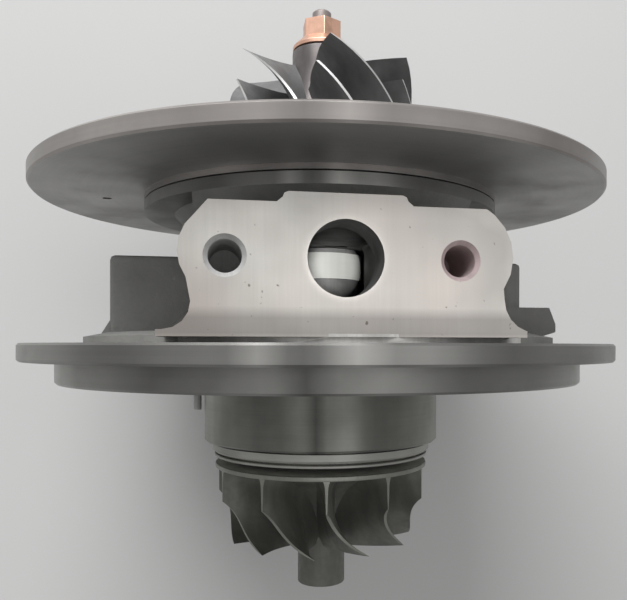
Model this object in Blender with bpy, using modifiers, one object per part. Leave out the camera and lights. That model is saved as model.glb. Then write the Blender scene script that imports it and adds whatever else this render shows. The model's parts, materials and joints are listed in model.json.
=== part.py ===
"""Turbocharger cartridge: bearing housing, back plate, rotor with both wheels, bearings and seals.

Every piece is drawn round a shaft line along local Z, with the compressor end up and the flange's
compressor-side face at height 0. The oil drain pad faces local -Y. One empty then lays the shaft
line down along +Y, with the pad up and the flange rim on the ground.
"""

import collections
import math

import bmesh
import bpy
from mathutils import Matrix, Vector

MM = 0.001

# Clearances between pieces.
FIT_GAP = 0.3 * MM
RUN_GAP = 0.3 * MM
RING_GAP = 0.15 * MM
SEAL_GAP = 0.5 * MM
MERGE_DISTANCE = 0.00001

# Number of sides on round pieces. A count of 4n + 2 puts a flat under the shaft line.
DISC_SIDES = 46
BODY_SIDES = 20
O_RING_POINTS = 6
WHEEL_SIDES = 24
SMALL_SIDES = 16
HOLE_SIDES = 12
FINE_HOLE_SIDES = 8
DRAIN_SIDES = 24
HEXAGON_SIDES = 6

# Bearing housing, turbine end.
FLANGE_RADIUS = 62.0 * MM
FLANGE_THICKNESS = 3.5 * MM
STEP_RADIUS = 55.3 * MM
STEP_DEPTH = 4.45 * MM
PLATEAU_RADIUS = 50.0 * MM
PLATEAU_HEIGHT = 2.15 * MM
PLATEAU_RIM = 1.3 * MM
PLATEAU_SLOPE = 4.3 * MM
NOSE_RADIUS = 25.6 * MM
NOSE_LENGTH = 12.9 * MM
SPIGOT_RADIUS = 22.9 * MM
SPIGOT_LENGTH = 1.15 * MM
EDGE_CHAMFER = 0.4 * MM

# Bearing housing, body and compressor end.
HOUSING_HEIGHT = 29.55 * MM
WAIST_RADIUS = 29.5 * MM
WAIST_FILLET = 2.6 * MM
TOP_FLANGE_RADIUS = 38.1 * MM
TOP_FLANGE_THICKNESS = 2.2 * MM

# Oil drain pad.
PAD_DISTANCE = 49.6 * MM
PAD_OFFSET = -2.8 * MM
PAD_BOTTOM = 0.95 * MM
PAD_SHOULDER = 21.6 * MM
PAD_THICKNESS = 8.0 * MM
PAD_NECK_SHARE = 0.86
EAR_HEIGHT = 13.9 * MM
LEFT_EAR_RADIUS = 7.05 * MM
RIGHT_EAR_RADIUS = 8.85 * MM
LEFT_WAIST = 23.7 * MM
RIGHT_WAIST = 26.0 * MM
LEFT_FOOT_FILLET = 4.2 * MM
RIGHT_FOOT_FILLET = 5.3 * MM
LEFT_FOOT_END = 270
RIGHT_FOOT_END = 254
FOOT_RISE = 1.05 * MM
FOOT_FLAT = 0.9 * MM
EAR_START = -35
EAR_END = 50
SHOULDER_INSET = 3.6 * MM
TAB_HALF_WIDTH = 9.9 * MM
TAB_HEIGHT = 1.65 * MM
TAB_CORNER = 0.9 * MM
PAD_HOLE_HEIGHT = 13.2 * MM
DRAIN_RADIUS = 6.1 * MM
BOLT_SPACING = 37.2 * MM
BOLT_HOLE_RADIUS = 2.6 * MM
BOLT_HOLE_DEPTH = 14.0 * MM
BOLT_CHAMFER = 0.7 * MM

# Cast blocks on the sides of the housing and the oil inlet opposite the pad.
LEFT_BLOCK_REACH = 44.3 * MM
LEFT_BLOCK_TOP = 17.95 * MM
RIGHT_BLOCK_REACH = 44.0 * MM
RIGHT_BLOCK_TOP = 18.15 * MM
LUG_REACH = 51.6 * MM
LUG_TOP = 8.2 * MM
LUG_SLANT = 1.5 * MM
LUG_TIP_HEIGHT = 1.4 * MM
LUG_FRONT = 9.4 * MM
LUG_BACK = 3.0 * MM
BLOCK_FRONT = 8.0 * MM
BLOCK_BACK = 14.0 * MM
BLOCK_BEVEL = 1.0 * MM
BLOCK_FOOT = 1.3 * MM
INLET_DISTANCE = 43.0 * MM
INLET_HEIGHT = 12.5 * MM
INLET_BOSS_RADIUS = 10.0 * MM
INLET_BOSS_ROOT = 11.5 * MM
INLET_BORE_RADIUS = 4.3 * MM
INLET_BORE_END = 17.0 * MM
FEED_RADIUS = 1.2 * MM

# Oil cavity round the bearing tube.
CAVITY_RADIUS = 19.0 * MM
CAVITY_BOTTOM = -4.0 * MM
CAVITY_TOP = 20.4 * MM
TUBE_RADIUS = 8.2 * MM
LAND_RADIUS = 9.0 * MM
LAND_BOTTOM = 13.9 * MM
LAND_HEIGHT = 5.5 * MM
OIL_POCKET_RADIUS = 12.0 * MM
OIL_POCKET_BOTTOM = -14.0 * MM
CHUTE_HALF_WIDTH = 9.0 * MM
CHUTE_BOTTOM = 5.5 * MM
CHUTE_TOP = 19.6 * MM
RIB_HALF_WIDTH = 4.0 * MM

# Shaft and journal bearings.
JOURNAL_RADIUS = 4.0 * MM
STUB_RADIUS = 2.6 * MM
THREAD_RADIUS = 2.1 * MM
SEAL_HUB_RADIUS = 8.5 * MM
SHAFT_RELIEF = 0.4 * MM
BEARING_WALL = 2.1 * MM
BEARING_LENGTH = 7.0 * MM
BEARING_OIL_HOLE = 0.8 * MM
BEARING_OIL_HOLES = 4
TURBINE_BEARING_BOTTOM = -4.5 * MM
CIRCLIP_THICKNESS = 1.0 * MM
CIRCLIP_WIDTH = 1.7 * MM
CIRCLIP_GROOVE_DEPTH = 0.6 * MM
CIRCLIP_GAP_WIDTH = 4.0 * MM
BORE_LIP = 1.2 * MM

# Thrust bearing stack, from the top face of the housing down.
THRUST_RECESS_DEPTH = 3.25 * MM
THRUST_PLATE_RADIUS = 15.0 * MM
THRUST_PLATE_THICKNESS = 2.2 * MM
THRUST_HUB_RADIUS = 4.9 * MM
THRUST_FLANGE_RADIUS = 6.6 * MM
THRUST_FLANGE_THICKNESS = 1.8 * MM
THRUST_GROOVE_WIDTH = 1.2 * MM
THRUST_GROOVES = 4
BAFFLE_THICKNESS = 0.6 * MM
BAFFLE_CUT = 11.0 * MM
THRUST_SCREWS = 3
THRUST_SCREW_CIRCLE = 11.2 * MM
THRUST_SCREW_RADIUS = 1.25 * MM
THRUST_SCREW_DEPTH = 3.5 * MM
THRUST_HEAD_RADIUS = 2.2 * MM
THRUST_HEAD_HEIGHT = 1.2 * MM

# Back plate.
BACK_PLATE_RADIUS = 60.2 * MM
BACK_PLATE_THICKNESS = 3.3 * MM
BACK_PLATE_BOSS_HEIGHT = 1.1 * MM
BAFFLE_RECESS_DEPTH = 2.0 * MM
DIMPLE_RADIUS = 1.0 * MM
DIMPLE_REACH = 7.9 * MM
DIMPLE_ANGLE = math.radians(-90.8)
DIMPLE_DEPTH = 1.2 * MM
PLATE_SCREWS = 4
PLATE_SCREW_INSET = 6.6 * MM
PLATE_SCREW_RADIUS = 2.2 * MM
PLATE_SCREW_LENGTH = 9.0 * MM
PLATE_HEAD_RADIUS = 3.9 * MM
PLATE_HEAD_HEIGHT = 1.9 * MM
SOCKET_RADIUS = 1.6 * MM
SOCKET_DEPTH = 1.2 * MM
COVER_RING_INSET = 3.8 * MM
HOUSING_RING_INSET = 2.5 * MM
O_RING_SECTION = 0.9 * MM
O_RING_PROUD = 0.35 * MM

# Compressor wheel and its nut.
WHEEL_RUN_GAP = 1.0 * MM
COMPRESSOR_RADIUS = 25.5 * MM
COMPRESSOR_DISC = 1.3 * MM
COMPRESSOR_BLADE_HEIGHT = 25.7 * MM
COMPRESSOR_LENGTH = 29.4 * MM
COMPRESSOR_HUB_RADIUS = 6.5 * MM
INDUCER_RADIUS = 19.9 * MM
COMPRESSOR_TIP_WIDTH = 3.4 * MM
FULL_BLADES = 6
COMPRESSOR_WRAP = math.radians(46.0)
COMPRESSOR_ENTRY_CURL = 3.6
COMPRESSOR_BACKSWEEP = math.radians(12.0)
COMPRESSOR_LEAN = math.radians(12.0)
COMPRESSOR_PHASE = math.radians(-2.6)
SPLITTER_START = 0.17
COMPRESSOR_ROOT = 1.8 * MM
COMPRESSOR_EDGE = 0.85 * MM
BLADE_ROOT_DEPTH = 0.5 * MM
BLADE_EDGE_INSET = 0.2 * MM
NUT_SKIRT_RADIUS = 6.4 * MM
NUT_SKIRT_HEIGHT = 2.5 * MM
NUT_ACROSS_FLATS = 7.8 * MM
NUT_HEX_HEIGHT = 4.0 * MM
SHAFT_PROTRUSION = 2.55 * MM

# Turbine wheel and heat shield.
SHIELD_RADIUS = 23.9 * MM
SHIELD_THICKNESS = 0.75 * MM
SHIELD_SKIRT = 1.7 * MM
TURBINE_BACK_GAP = 2.6 * MM
TURBINE_RADIUS = 23.3 * MM
TURBINE_DISC = 1.0 * MM
TURBINE_LENGTH = 27.3 * MM
TURBINE_INLET_WIDTH = 6.3 * MM
EXDUCER_RADIUS = 19.9 * MM
EXDUCER_DEPTH = 17.1 * MM
TURBINE_HUB_RADIUS = 5.6 * MM
TURBINE_NOSE_RADIUS = 5.2 * MM
TURBINE_BLADES = 11
TURBINE_WRAP = math.radians(26.2)
TURBINE_HUB_SHARE = 0.35
TURBINE_EARLY_CURL = 0.41
TURBINE_LATE_CURL = 2.8
TURBINE_PHASE = math.radians(-5.1)
TURBINE_ROOT = 2.2 * MM
TURBINE_EDGE = 0.95 * MM

# Piston rings and the locating pin.
PISTON_RING_THICKNESS = 1.2 * MM
PISTON_RING_WIDTH = 1.2 * MM
TURBINE_RING_HEIGHT = -19.0 * MM
SLEEVE_RADIUS = 5.4 * MM
SLEEVE_FLANGE_THICKNESS = 1.4 * MM
PIN_RADIUS = 0.9 * MM
PIN_CIRCLE = 27.5 * MM
PIN_ANGLE = math.radians(-97.7)
PIN_EXPOSED = 6.7 * MM
PIN_SEATED = 3.0 * MM

# Blade loft: stations along the flow and rows from root to edge.
BLADE_STEPS = 6
HUB_POINTS = 6
SHARP_ANGLE = math.radians(35.0)

# Heights along the shaft, radii and circles, worked out from the sizes above.
STEP_BOTTOM = -FLANGE_THICKNESS - STEP_DEPTH
NOSE_END = STEP_BOTTOM - NOSE_LENGTH
SPIGOT_END = NOSE_END - SPIGOT_LENGTH
SHIELD_TOP = SPIGOT_END - FIT_GAP
SHIELD_BOTTOM = SHIELD_TOP - SHIELD_THICKNESS
TURBINE_BACK = SHIELD_BOTTOM - TURBINE_BACK_GAP
TURBINE_FACE = TURBINE_BACK - TURBINE_DISC
TURBINE_END = TURBINE_BACK - TURBINE_LENGTH

THRUST_SEAT = HOUSING_HEIGHT - THRUST_RECESS_DEPTH
THRUST_PLATE_BOTTOM = THRUST_SEAT + FIT_GAP
THRUST_PLATE_TOP = THRUST_PLATE_BOTTOM + THRUST_PLATE_THICKNESS
BAFFLE_BOTTOM = THRUST_PLATE_TOP + FIT_GAP
BAFFLE_TOP = BAFFLE_BOTTOM + BAFFLE_THICKNESS
COLLAR_BOTTOM = THRUST_PLATE_BOTTOM - RUN_GAP - THRUST_FLANGE_THICKNESS
THRUST_POCKET_FLOOR = COLLAR_BOTTOM - RUN_GAP
SHAFT_SHOULDER = COLLAR_BOTTOM - FIT_GAP
CIRCLIP_GROOVE = CIRCLIP_THICKNESS + 2 * RING_GAP
COMPRESSOR_BEARING_TOP = THRUST_POCKET_FLOOR - BORE_LIP - CIRCLIP_GROOVE - RING_GAP
COMPRESSOR_BEARING_BOTTOM = COMPRESSOR_BEARING_TOP - BEARING_LENGTH
TURBINE_BEARING_TOP = TURBINE_BEARING_BOTTOM + BEARING_LENGTH
TUBE_BOTTOM = TURBINE_BEARING_BOTTOM - RING_GAP - CIRCLIP_GROOVE - BORE_LIP

PLATE_SEAT = HOUSING_HEIGHT + FIT_GAP
PLATE_BOTTOM = PLATE_SEAT + BACK_PLATE_BOSS_HEIGHT
PLATE_TOP = PLATE_BOTTOM + BACK_PLATE_THICKNESS
SLEEVE_BOTTOM = THRUST_PLATE_TOP + RUN_GAP + RING_GAP
SLEEVE_FLANGE_TOP = SLEEVE_BOTTOM + SLEEVE_FLANGE_THICKNESS
WHEEL_BACK = PLATE_TOP + WHEEL_RUN_GAP
SLEEVE_TOP = WHEEL_BACK - FIT_GAP
WHEEL_NOSE = WHEEL_BACK + COMPRESSOR_LENGTH
NUT_BOTTOM = WHEEL_NOSE + FIT_GAP
NUT_TOP = NUT_BOTTOM + NUT_SKIRT_HEIGHT + NUT_HEX_HEIGHT
SHAFT_TIP = NUT_TOP + SHAFT_PROTRUSION
COMPRESSOR_RING_HEIGHT = (PLATE_SEAT + BAFFLE_RECESS_DEPTH + PLATE_TOP) / 2

BEARING_RADIUS = JOURNAL_RADIUS + RUN_GAP + BEARING_WALL
BEARING_BORE = BEARING_RADIUS + RUN_GAP
GROOVE_RADIUS = BEARING_BORE + CIRCLIP_GROOVE_DEPTH
SEAL_BORE = SEAL_HUB_RADIUS + SEAL_GAP
PLATE_BORE = SLEEVE_RADIUS + SEAL_GAP
RECESS_RADIUS = THRUST_PLATE_RADIUS + FIT_GAP
SHAFT_BORE = STUB_RADIUS + FIT_GAP
COVER_RING_CIRCLE = BACK_PLATE_RADIUS - COVER_RING_INSET
HOUSING_RING_CIRCLE = TOP_FLANGE_RADIUS - HOUSING_RING_INSET
PLATE_SCREW_CIRCLE = TOP_FLANGE_RADIUS - PLATE_SCREW_INSET
DIMPLE_CIRCLE = TOP_FLANGE_RADIUS + DIMPLE_REACH
AXIS_HEIGHT = FLANGE_RADIUS * math.cos(math.pi / DISC_SIDES)
AXIS_START = -(SHAFT_TIP + TURBINE_END) / 2

Wheel = collections.namedtuple("Wheel", "hub tip angle root edge")


def make_collection(name):
    collection = bpy.data.collections.new(name)
    bpy.context.scene.collection.children.link(collection)
    return collection


def make_material(name, colour, roughness, metallic):
    material = bpy.data.materials.new(name)
    material.use_nodes = True
    shader = material.node_tree.nodes["Principled BSDF"]
    shader.inputs["Base Color"].default_value = (*colour, 1.0)
    shader.inputs["Roughness"].default_value = roughness
    shader.inputs["Metallic"].default_value = metallic
    material.diffuse_color = (*colour, 1.0)
    return material


def make_empty(name, parent=None):
    empty = bpy.data.objects.new(name, None)
    PARTS.objects.link(empty)
    empty.parent = parent
    return empty


def add_object(name, mesh, material=None, parent=None):
    """A part under its parent empty, or a hidden helper form where no material is given."""
    obj = bpy.data.objects.new(name, mesh)
    if material is None:
        HELPERS.objects.link(obj)
        obj.hide_render = True
        obj.display_type = "WIRE"
    else:
        PARTS.objects.link(obj)
        mesh.materials.append(material)
    obj.parent = parent or CARTRIDGE
    return obj


def turned(name, profile, sides, material=None, parent=None, ring=False):
    """A solid of revolution from (radius, height) points that run down its outer side."""
    mesh = bpy.data.meshes.new(name)
    count = len(profile)
    edges = [(i, i + 1) for i in range(count - 1)]
    if ring:
        edges.append((count - 1, 0))
    mesh.from_pydata([(radius, 0.0, height) for radius, height in profile], edges, [])
    obj = add_object(name, mesh, material, parent)
    screw = obj.modifiers.new("Turn", "SCREW")
    screw.axis = "Z"
    screw.angle = math.tau
    screw.steps = sides
    screw.render_steps = sides
    screw.use_merge_vertices = True
    screw.merge_threshold = MERGE_DISTANCE
    return obj


def mesh_from(bm, name):
    mesh = bpy.data.meshes.new(name)
    bmesh.ops.recalc_face_normals(bm, faces=bm.faces)
    bm.to_mesh(mesh)
    bm.free()
    return mesh


def drum(name, start, end, start_radius, end_radius=None, sides=HOLE_SIDES, material=None, parent=None):
    """A cylinder or cone between two points."""
    start = Vector(start)
    end = Vector(end)
    if end_radius is None:
        end_radius = start_radius
    axis = end - start
    place = Matrix.Translation((start + end) / 2) @ axis.to_track_quat("Z", "Y").to_matrix().to_4x4()
    bm = bmesh.new()
    bmesh.ops.create_cone(
        bm,
        cap_ends=True,
        segments=sides,
        radius1=start_radius,
        radius2=end_radius,
        depth=axis.length,
        matrix=place,
    )
    return add_object(name, mesh_from(bm, name), material, parent)


def block(name, low, high, bevel=0.0, segments=2):
    """A box between two corners, with its edges rounded where a bevel is given."""
    low = Vector(low)
    high = Vector(high)
    bm = bmesh.new()
    place = Matrix.Translation((low + high) / 2) @ Matrix.Diagonal((*(high - low), 1.0))
    bmesh.ops.create_cube(bm, size=1.0, matrix=place)
    if bevel:
        bmesh.ops.bevel(
            bm, geom=bm.edges[:], offset=bevel, segments=segments, profile=0.5, affect="EDGES"
        )
    return add_object(name, mesh_from(bm, name))


def prism(name, outline, front, back):
    """A solid from an (x, height) outline, drawn through from one y to another."""
    bm = bmesh.new()
    loops = []
    for y in (front, back):
        loops.append([bm.verts.new((x, y, height)) for x, height in outline])
    near, far = loops
    for i in range(len(outline)):
        after = (i + 1) % len(outline)
        bm.faces.new((near[i], near[after], far[after], far[i]))
    bm.faces.new(near)
    bm.faces.new(far)
    return add_object(name, mesh_from(bm, name))


def combine(obj, helper, operation):
    modifier = obj.modifiers.new(helper.name, "BOOLEAN")
    modifier.object = helper
    modifier.operation = operation
    modifier.solver = "EXACT"


def cut(obj, helper):
    combine(obj, helper, "DIFFERENCE")


def join(obj, helper):
    combine(obj, helper, "UNION")


def polar(radius, angle, height):
    """A point at an angle from the drain pad's side towards +X."""
    return Vector((radius * math.sin(angle), -radius * math.cos(angle), height))


def spread(count, phase=0.0):
    return [phase + math.tau * i / count for i in range(count)]


def arc(centre_x, centre_z, radius, start, end, steps):
    """Points of an arc in the pad's plane, from one angle in degrees to another."""
    points = []
    for i in range(steps + 1):
        angle = math.radians(start + (end - start) * i / steps)
        points.append((centre_x + radius * math.cos(angle), centre_z + radius * math.sin(angle)))
    return points


def pad_side(ear_radius, waist, fillet, foot_end):
    """Half of the pad's outline from its foot up to the tab, as if it lay on the +X side."""
    ear_x = BOLT_SPACING / 2
    foot_top = PAD_BOTTOM + FOOT_RISE - fillet * math.sin(math.radians(foot_end))
    foot = arc(waist + fillet, foot_top, fillet, foot_end, 180, 4)
    foot_x = foot[0][0] + FOOT_FLAT
    points = [(foot_x, PAD_BOTTOM), (foot_x, PAD_BOTTOM + FOOT_RISE), *foot]
    points += arc(ear_x, EAR_HEIGHT, ear_radius, EAR_START, EAR_END, 5)
    points.append((ear_x + ear_radius - SHOULDER_INSET - TAB_CORNER, PAD_SHOULDER))
    points.append((TAB_HALF_WIDTH + TAB_CORNER, PAD_SHOULDER))
    points += arc(
        TAB_HALF_WIDTH - TAB_CORNER, PAD_SHOULDER + TAB_HEIGHT - TAB_CORNER, TAB_CORNER, 0, 90, 2
    )
    return points


def pad_outline():
    right = pad_side(RIGHT_EAR_RADIUS, RIGHT_WAIST, RIGHT_FOOT_FILLET, RIGHT_FOOT_END)
    left = pad_side(LEFT_EAR_RADIUS, LEFT_WAIST, LEFT_FOOT_FILLET, LEFT_FOOT_END)
    return right + [(-x, z) for x, z in reversed(left)]


def pad_form():
    """The drain pad, lofted from its face back to a narrower neck inside the body."""
    outline = pad_outline()
    middle = (PAD_BOTTOM + PAD_SHOULDER) / 2
    sections = (
        (-PAD_DISTANCE, 1.0),
        (-PAD_DISTANCE + PAD_THICKNESS, 1.0),
        (-CAVITY_RADIUS, PAD_NECK_SHARE),
    )
    bm = bmesh.new()
    loops = []
    for depth, share in sections:
        loop = []
        for x, z in outline:
            height = middle + (z - middle) * share
            loop.append(bm.verts.new((PAD_OFFSET + x * share, depth, height)))
        loops.append(loop)
    count = len(outline)
    for front, back in zip(loops, loops[1:]):
        for i in range(count):
            after = (i + 1) % count
            bm.faces.new((front[i], front[after], back[after], back[i]))
    bm.faces.new(loops[0])
    bm.faces.new(loops[-1])
    return add_object("pad form", mesh_from(bm, "pad form"))


def housing_profile():
    """The turned outer form, waisted between the top flange and the plateau on the big flange."""
    top_flange = HOUSING_HEIGHT - TOP_FLANGE_THICKNESS
    waist_height = top_flange - PLATEAU_HEIGHT
    flare = (TOP_FLANGE_RADIUS + WAIST_RADIUS) / 2
    return [
        (0.0, HOUSING_HEIGHT),
        *ring_channel(HOUSING_RING_CIRCLE, HOUSING_HEIGHT, 2 * O_RING_SECTION + RING_GAP),
        (TOP_FLANGE_RADIUS, HOUSING_HEIGHT),
        (TOP_FLANGE_RADIUS, top_flange),
        ((TOP_FLANGE_RADIUS + flare) / 2, top_flange - waist_height / 14),
        (flare, top_flange - waist_height / 6),
        (WAIST_RADIUS, top_flange - waist_height / 2),
        (WAIST_RADIUS, PLATEAU_HEIGHT + WAIST_FILLET * 2),
        (WAIST_RADIUS + WAIST_FILLET, PLATEAU_HEIGHT + WAIST_FILLET),
        (WAIST_RADIUS + 2 * WAIST_FILLET, PLATEAU_HEIGHT),
        (PLATEAU_RADIUS - PLATEAU_SLOPE, PLATEAU_HEIGHT),
        (PLATEAU_RADIUS, PLATEAU_RIM),
        (PLATEAU_RADIUS, 0.0),
        (FLANGE_RADIUS - EDGE_CHAMFER, 0.0),
        (FLANGE_RADIUS, -EDGE_CHAMFER),
        (FLANGE_RADIUS, -FLANGE_THICKNESS + EDGE_CHAMFER),
        (FLANGE_RADIUS - EDGE_CHAMFER, -FLANGE_THICKNESS),
        (STEP_RADIUS, -FLANGE_THICKNESS),
        (STEP_RADIUS, STEP_BOTTOM + EDGE_CHAMFER),
        (STEP_RADIUS - EDGE_CHAMFER, STEP_BOTTOM),
        (NOSE_RADIUS + EDGE_CHAMFER, STEP_BOTTOM),
        (NOSE_RADIUS, STEP_BOTTOM - EDGE_CHAMFER),
        (NOSE_RADIUS, NOSE_END + EDGE_CHAMFER),
        (NOSE_RADIUS - EDGE_CHAMFER, NOSE_END),
        (SPIGOT_RADIUS, NOSE_END),
        (SPIGOT_RADIUS, SPIGOT_END),
        (0.0, SPIGOT_END),
    ]


def ring_channel(circle, top, depth):
    """Outline points of an O-ring groove in a flat top face, from the inside out."""
    half = O_RING_SECTION + RING_GAP
    return [
        (circle - half, top),
        (circle - half, top - depth),
        (circle + half, top - depth),
        (circle + half, top),
    ]


def circlip_grooves():
    """Bottom heights of the four circlip grooves, beside each end of both journal bearings."""
    heights = []
    for bottom in (TURBINE_BEARING_BOTTOM, COMPRESSOR_BEARING_BOTTOM):
        heights.append(bottom - RING_GAP - CIRCLIP_GROOVE)
        heights.append(bottom + BEARING_LENGTH + RING_GAP)
    return heights


def bore_profile():
    """The thrust recess, the bearing bore with its grooves, the oil pocket and the seal bore."""
    pocket_radius = THRUST_FLANGE_RADIUS + 3 * RUN_GAP
    profile = [
        (0.0, HOUSING_HEIGHT + BORE_LIP),
        (RECESS_RADIUS, HOUSING_HEIGHT + BORE_LIP),
        (RECESS_RADIUS, THRUST_SEAT),
        (pocket_radius, THRUST_SEAT),
        (pocket_radius, THRUST_POCKET_FLOOR),
        (BEARING_BORE, THRUST_POCKET_FLOOR),
    ]
    for bottom in sorted(circlip_grooves(), reverse=True):
        top = bottom + CIRCLIP_GROOVE
        profile.append((BEARING_BORE, top))
        profile.append((GROOVE_RADIUS, top))
        profile.append((GROOVE_RADIUS, bottom))
        profile.append((BEARING_BORE, bottom))
    profile.append((BEARING_BORE, TUBE_BOTTOM))
    profile.append((OIL_POCKET_RADIUS, TUBE_BOTTOM))
    profile.append((OIL_POCKET_RADIUS, OIL_POCKET_BOTTOM))
    profile.append((SEAL_BORE, OIL_POCKET_BOTTOM))
    profile.append((SEAL_BORE, SPIGOT_END - BORE_LIP))
    profile.append((0.0, SPIGOT_END - BORE_LIP))
    return profile


def cavity_profile():
    """The drain cavity round the bearing tube, with a neck down into the oil pocket."""
    land_top = LAND_BOTTOM + LAND_HEIGHT
    corner = CAVITY_RADIUS / 8
    neck = (OIL_POCKET_RADIUS + TUBE_RADIUS) / 2
    neck_bottom = TUBE_BOTTOM - BORE_LIP
    return [
        (TUBE_RADIUS, CAVITY_TOP),
        (CAVITY_RADIUS - corner, CAVITY_TOP),
        (CAVITY_RADIUS, CAVITY_TOP - corner),
        (CAVITY_RADIUS, CAVITY_BOTTOM + corner),
        (CAVITY_RADIUS - corner, CAVITY_BOTTOM),
        (neck, CAVITY_BOTTOM),
        (neck, neck_bottom),
        (TUBE_RADIUS, neck_bottom),
        (TUBE_RADIUS, LAND_BOTTOM),
        (LAND_RADIUS, LAND_BOTTOM),
        (LAND_RADIUS, land_top),
        (TUBE_RADIUS, land_top),
    ]


def left_foot():
    """The sloped root of the left block on the plateau."""
    base = PLATEAU_HEIGHT / 4
    inside = -WAIST_RADIUS / 2
    top = PLATEAU_HEIGHT + 2 * BLOCK_FOOT
    reach = LEFT_BLOCK_REACH + 2 * BLOCK_FOOT
    outline = [(inside, base), (-reach, base), (-LEFT_BLOCK_REACH, top), (inside, top)]
    return prism("left foot", outline, BLOCK_BEVEL - BLOCK_FRONT, BLOCK_BACK - BLOCK_BEVEL)


def right_lug():
    """The low lug beside the right block, with a slanted end that hangs over the plateau's rim."""
    base = PLATEAU_HEIGHT / 4
    inside = WAIST_RADIUS / 2
    rooted = PLATEAU_RADIUS - 2 * PLATEAU_SLOPE
    tip_bottom = (PLATEAU_HEIGHT + LUG_TOP / 2) / 2
    outline = [
        (inside, base),
        (rooted, base),
        (rooted + PLATEAU_SLOPE / 2, tip_bottom),
        (LUG_REACH, tip_bottom),
        (LUG_REACH, tip_bottom + LUG_TIP_HEIGHT),
        (LUG_REACH - LUG_SLANT, LUG_TOP),
        (inside, LUG_TOP),
    ]
    return prism("right lug", outline, -LUG_FRONT, LUG_BACK)


def side_forms():
    """The cast blocks beside the pad, the low lug and the oil inlet boss."""
    base = PLATEAU_HEIGHT / 4
    inside = WAIST_RADIUS / 2
    low_y = -BLOCK_FRONT
    high_y = BLOCK_BACK
    return [
        left_foot(),
        right_lug(),
        block(
            "left block", (-LEFT_BLOCK_REACH, low_y, base), (-inside, high_y, LEFT_BLOCK_TOP), BLOCK_BEVEL
        ),
        block(
            "right block", (inside, low_y, base), (RIGHT_BLOCK_REACH, high_y, RIGHT_BLOCK_TOP), BLOCK_BEVEL
        ),
        drum(
            "inlet boss",
            (0.0, CAVITY_RADIUS, INLET_HEIGHT),
            (0.0, INLET_DISTANCE, INLET_HEIGHT),
            INLET_BOSS_ROOT,
            INLET_BOSS_RADIUS,
            SMALL_SIDES,
        ),
    ]


def oil_drillings():
    """The inlet bore and the two slanted feeds from it to the journal bearings."""
    inlet_end = (0.0, INLET_BORE_END, INLET_HEIGHT)
    inlet_start = (0.0, INLET_DISTANCE + INLET_BORE_RADIUS, INLET_HEIGHT)
    cutters = [drum("inlet bore", inlet_start, inlet_end, INLET_BORE_RADIUS)]
    feed_start = (0.0, INLET_BORE_END + INLET_BORE_RADIUS / 2, INLET_HEIGHT)
    for end, bottom in (("turbine", TURBINE_BEARING_BOTTOM), ("compressor", COMPRESSOR_BEARING_BOTTOM)):
        feed_end = (0.0, (JOURNAL_RADIUS + BEARING_RADIUS) / 2, bottom + BEARING_LENGTH / 2)
        cutters.append(drum(end + " feed", feed_start, feed_end, FEED_RADIUS, sides=FINE_HOLE_SIDES))
    return cutters


def pad_drillings():
    """The drain hole, the chute behind it, and the two bolt holes with their chamfers."""
    front = -PAD_DISTANCE - BOLT_CHAMFER
    drain_end = (PAD_OFFSET, -CAVITY_RADIUS + DRAIN_RADIUS / 2, PAD_HOLE_HEIGHT)
    cutters = [
        drum("drain hole", (PAD_OFFSET, front, PAD_HOLE_HEIGHT), drain_end, DRAIN_RADIUS, sides=DRAIN_SIDES),
        block(
            "drain chute",
            (PAD_OFFSET - CHUTE_HALF_WIDTH, -PAD_DISTANCE + PAD_THICKNESS, CHUTE_BOTTOM),
            (PAD_OFFSET + CHUTE_HALF_WIDTH, -CAVITY_RADIUS + DRAIN_RADIUS / 2, CHUTE_TOP),
            BLOCK_BEVEL,
        ),
    ]
    profile = [
        (0.0, BOLT_CHAMFER),
        (BOLT_HOLE_RADIUS + 2 * BOLT_CHAMFER, BOLT_CHAMFER),
        (BOLT_HOLE_RADIUS, -BOLT_CHAMFER),
        (BOLT_HOLE_RADIUS, -BOLT_HOLE_DEPTH),
        (0.0, -BOLT_HOLE_DEPTH),
    ]
    for side in (-1, 1):
        hole = turned("bolt hole", profile, HOLE_SIDES)
        hole.location = (PAD_OFFSET + side * BOLT_SPACING / 2, -PAD_DISTANCE, PAD_HOLE_HEIGHT)
        hole.rotation_euler = (math.pi / 2, 0.0, 0.0)
        cutters.append(hole)
    return cutters


def screw_holes():
    """Blind holes in the top of the housing for the plate screws and the thrust bearing screws."""
    cutters = []
    for angle in spread(PLATE_SCREWS, math.pi / PLATE_SCREWS):
        top = polar(PLATE_SCREW_CIRCLE, angle, HOUSING_HEIGHT + FIT_GAP)
        bottom = polar(PLATE_SCREW_CIRCLE, angle, PLATE_TOP - PLATE_SCREW_LENGTH - FIT_GAP)
        cutters.append(drum("plate screw hole", top, bottom, PLATE_SCREW_RADIUS + FIT_GAP))
    tapped = THRUST_SCREW_RADIUS + FIT_GAP
    for angle in spread(THRUST_SCREWS, math.pi):
        top = polar(THRUST_SCREW_CIRCLE, angle, THRUST_SEAT + FIT_GAP)
        bottom = polar(THRUST_SCREW_CIRCLE, angle, THRUST_SEAT - THRUST_SCREW_DEPTH - FIT_GAP)
        cutters.append(drum("thrust screw hole", top, bottom, tapped, sides=FINE_HOLE_SIDES))
    return cutters


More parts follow.
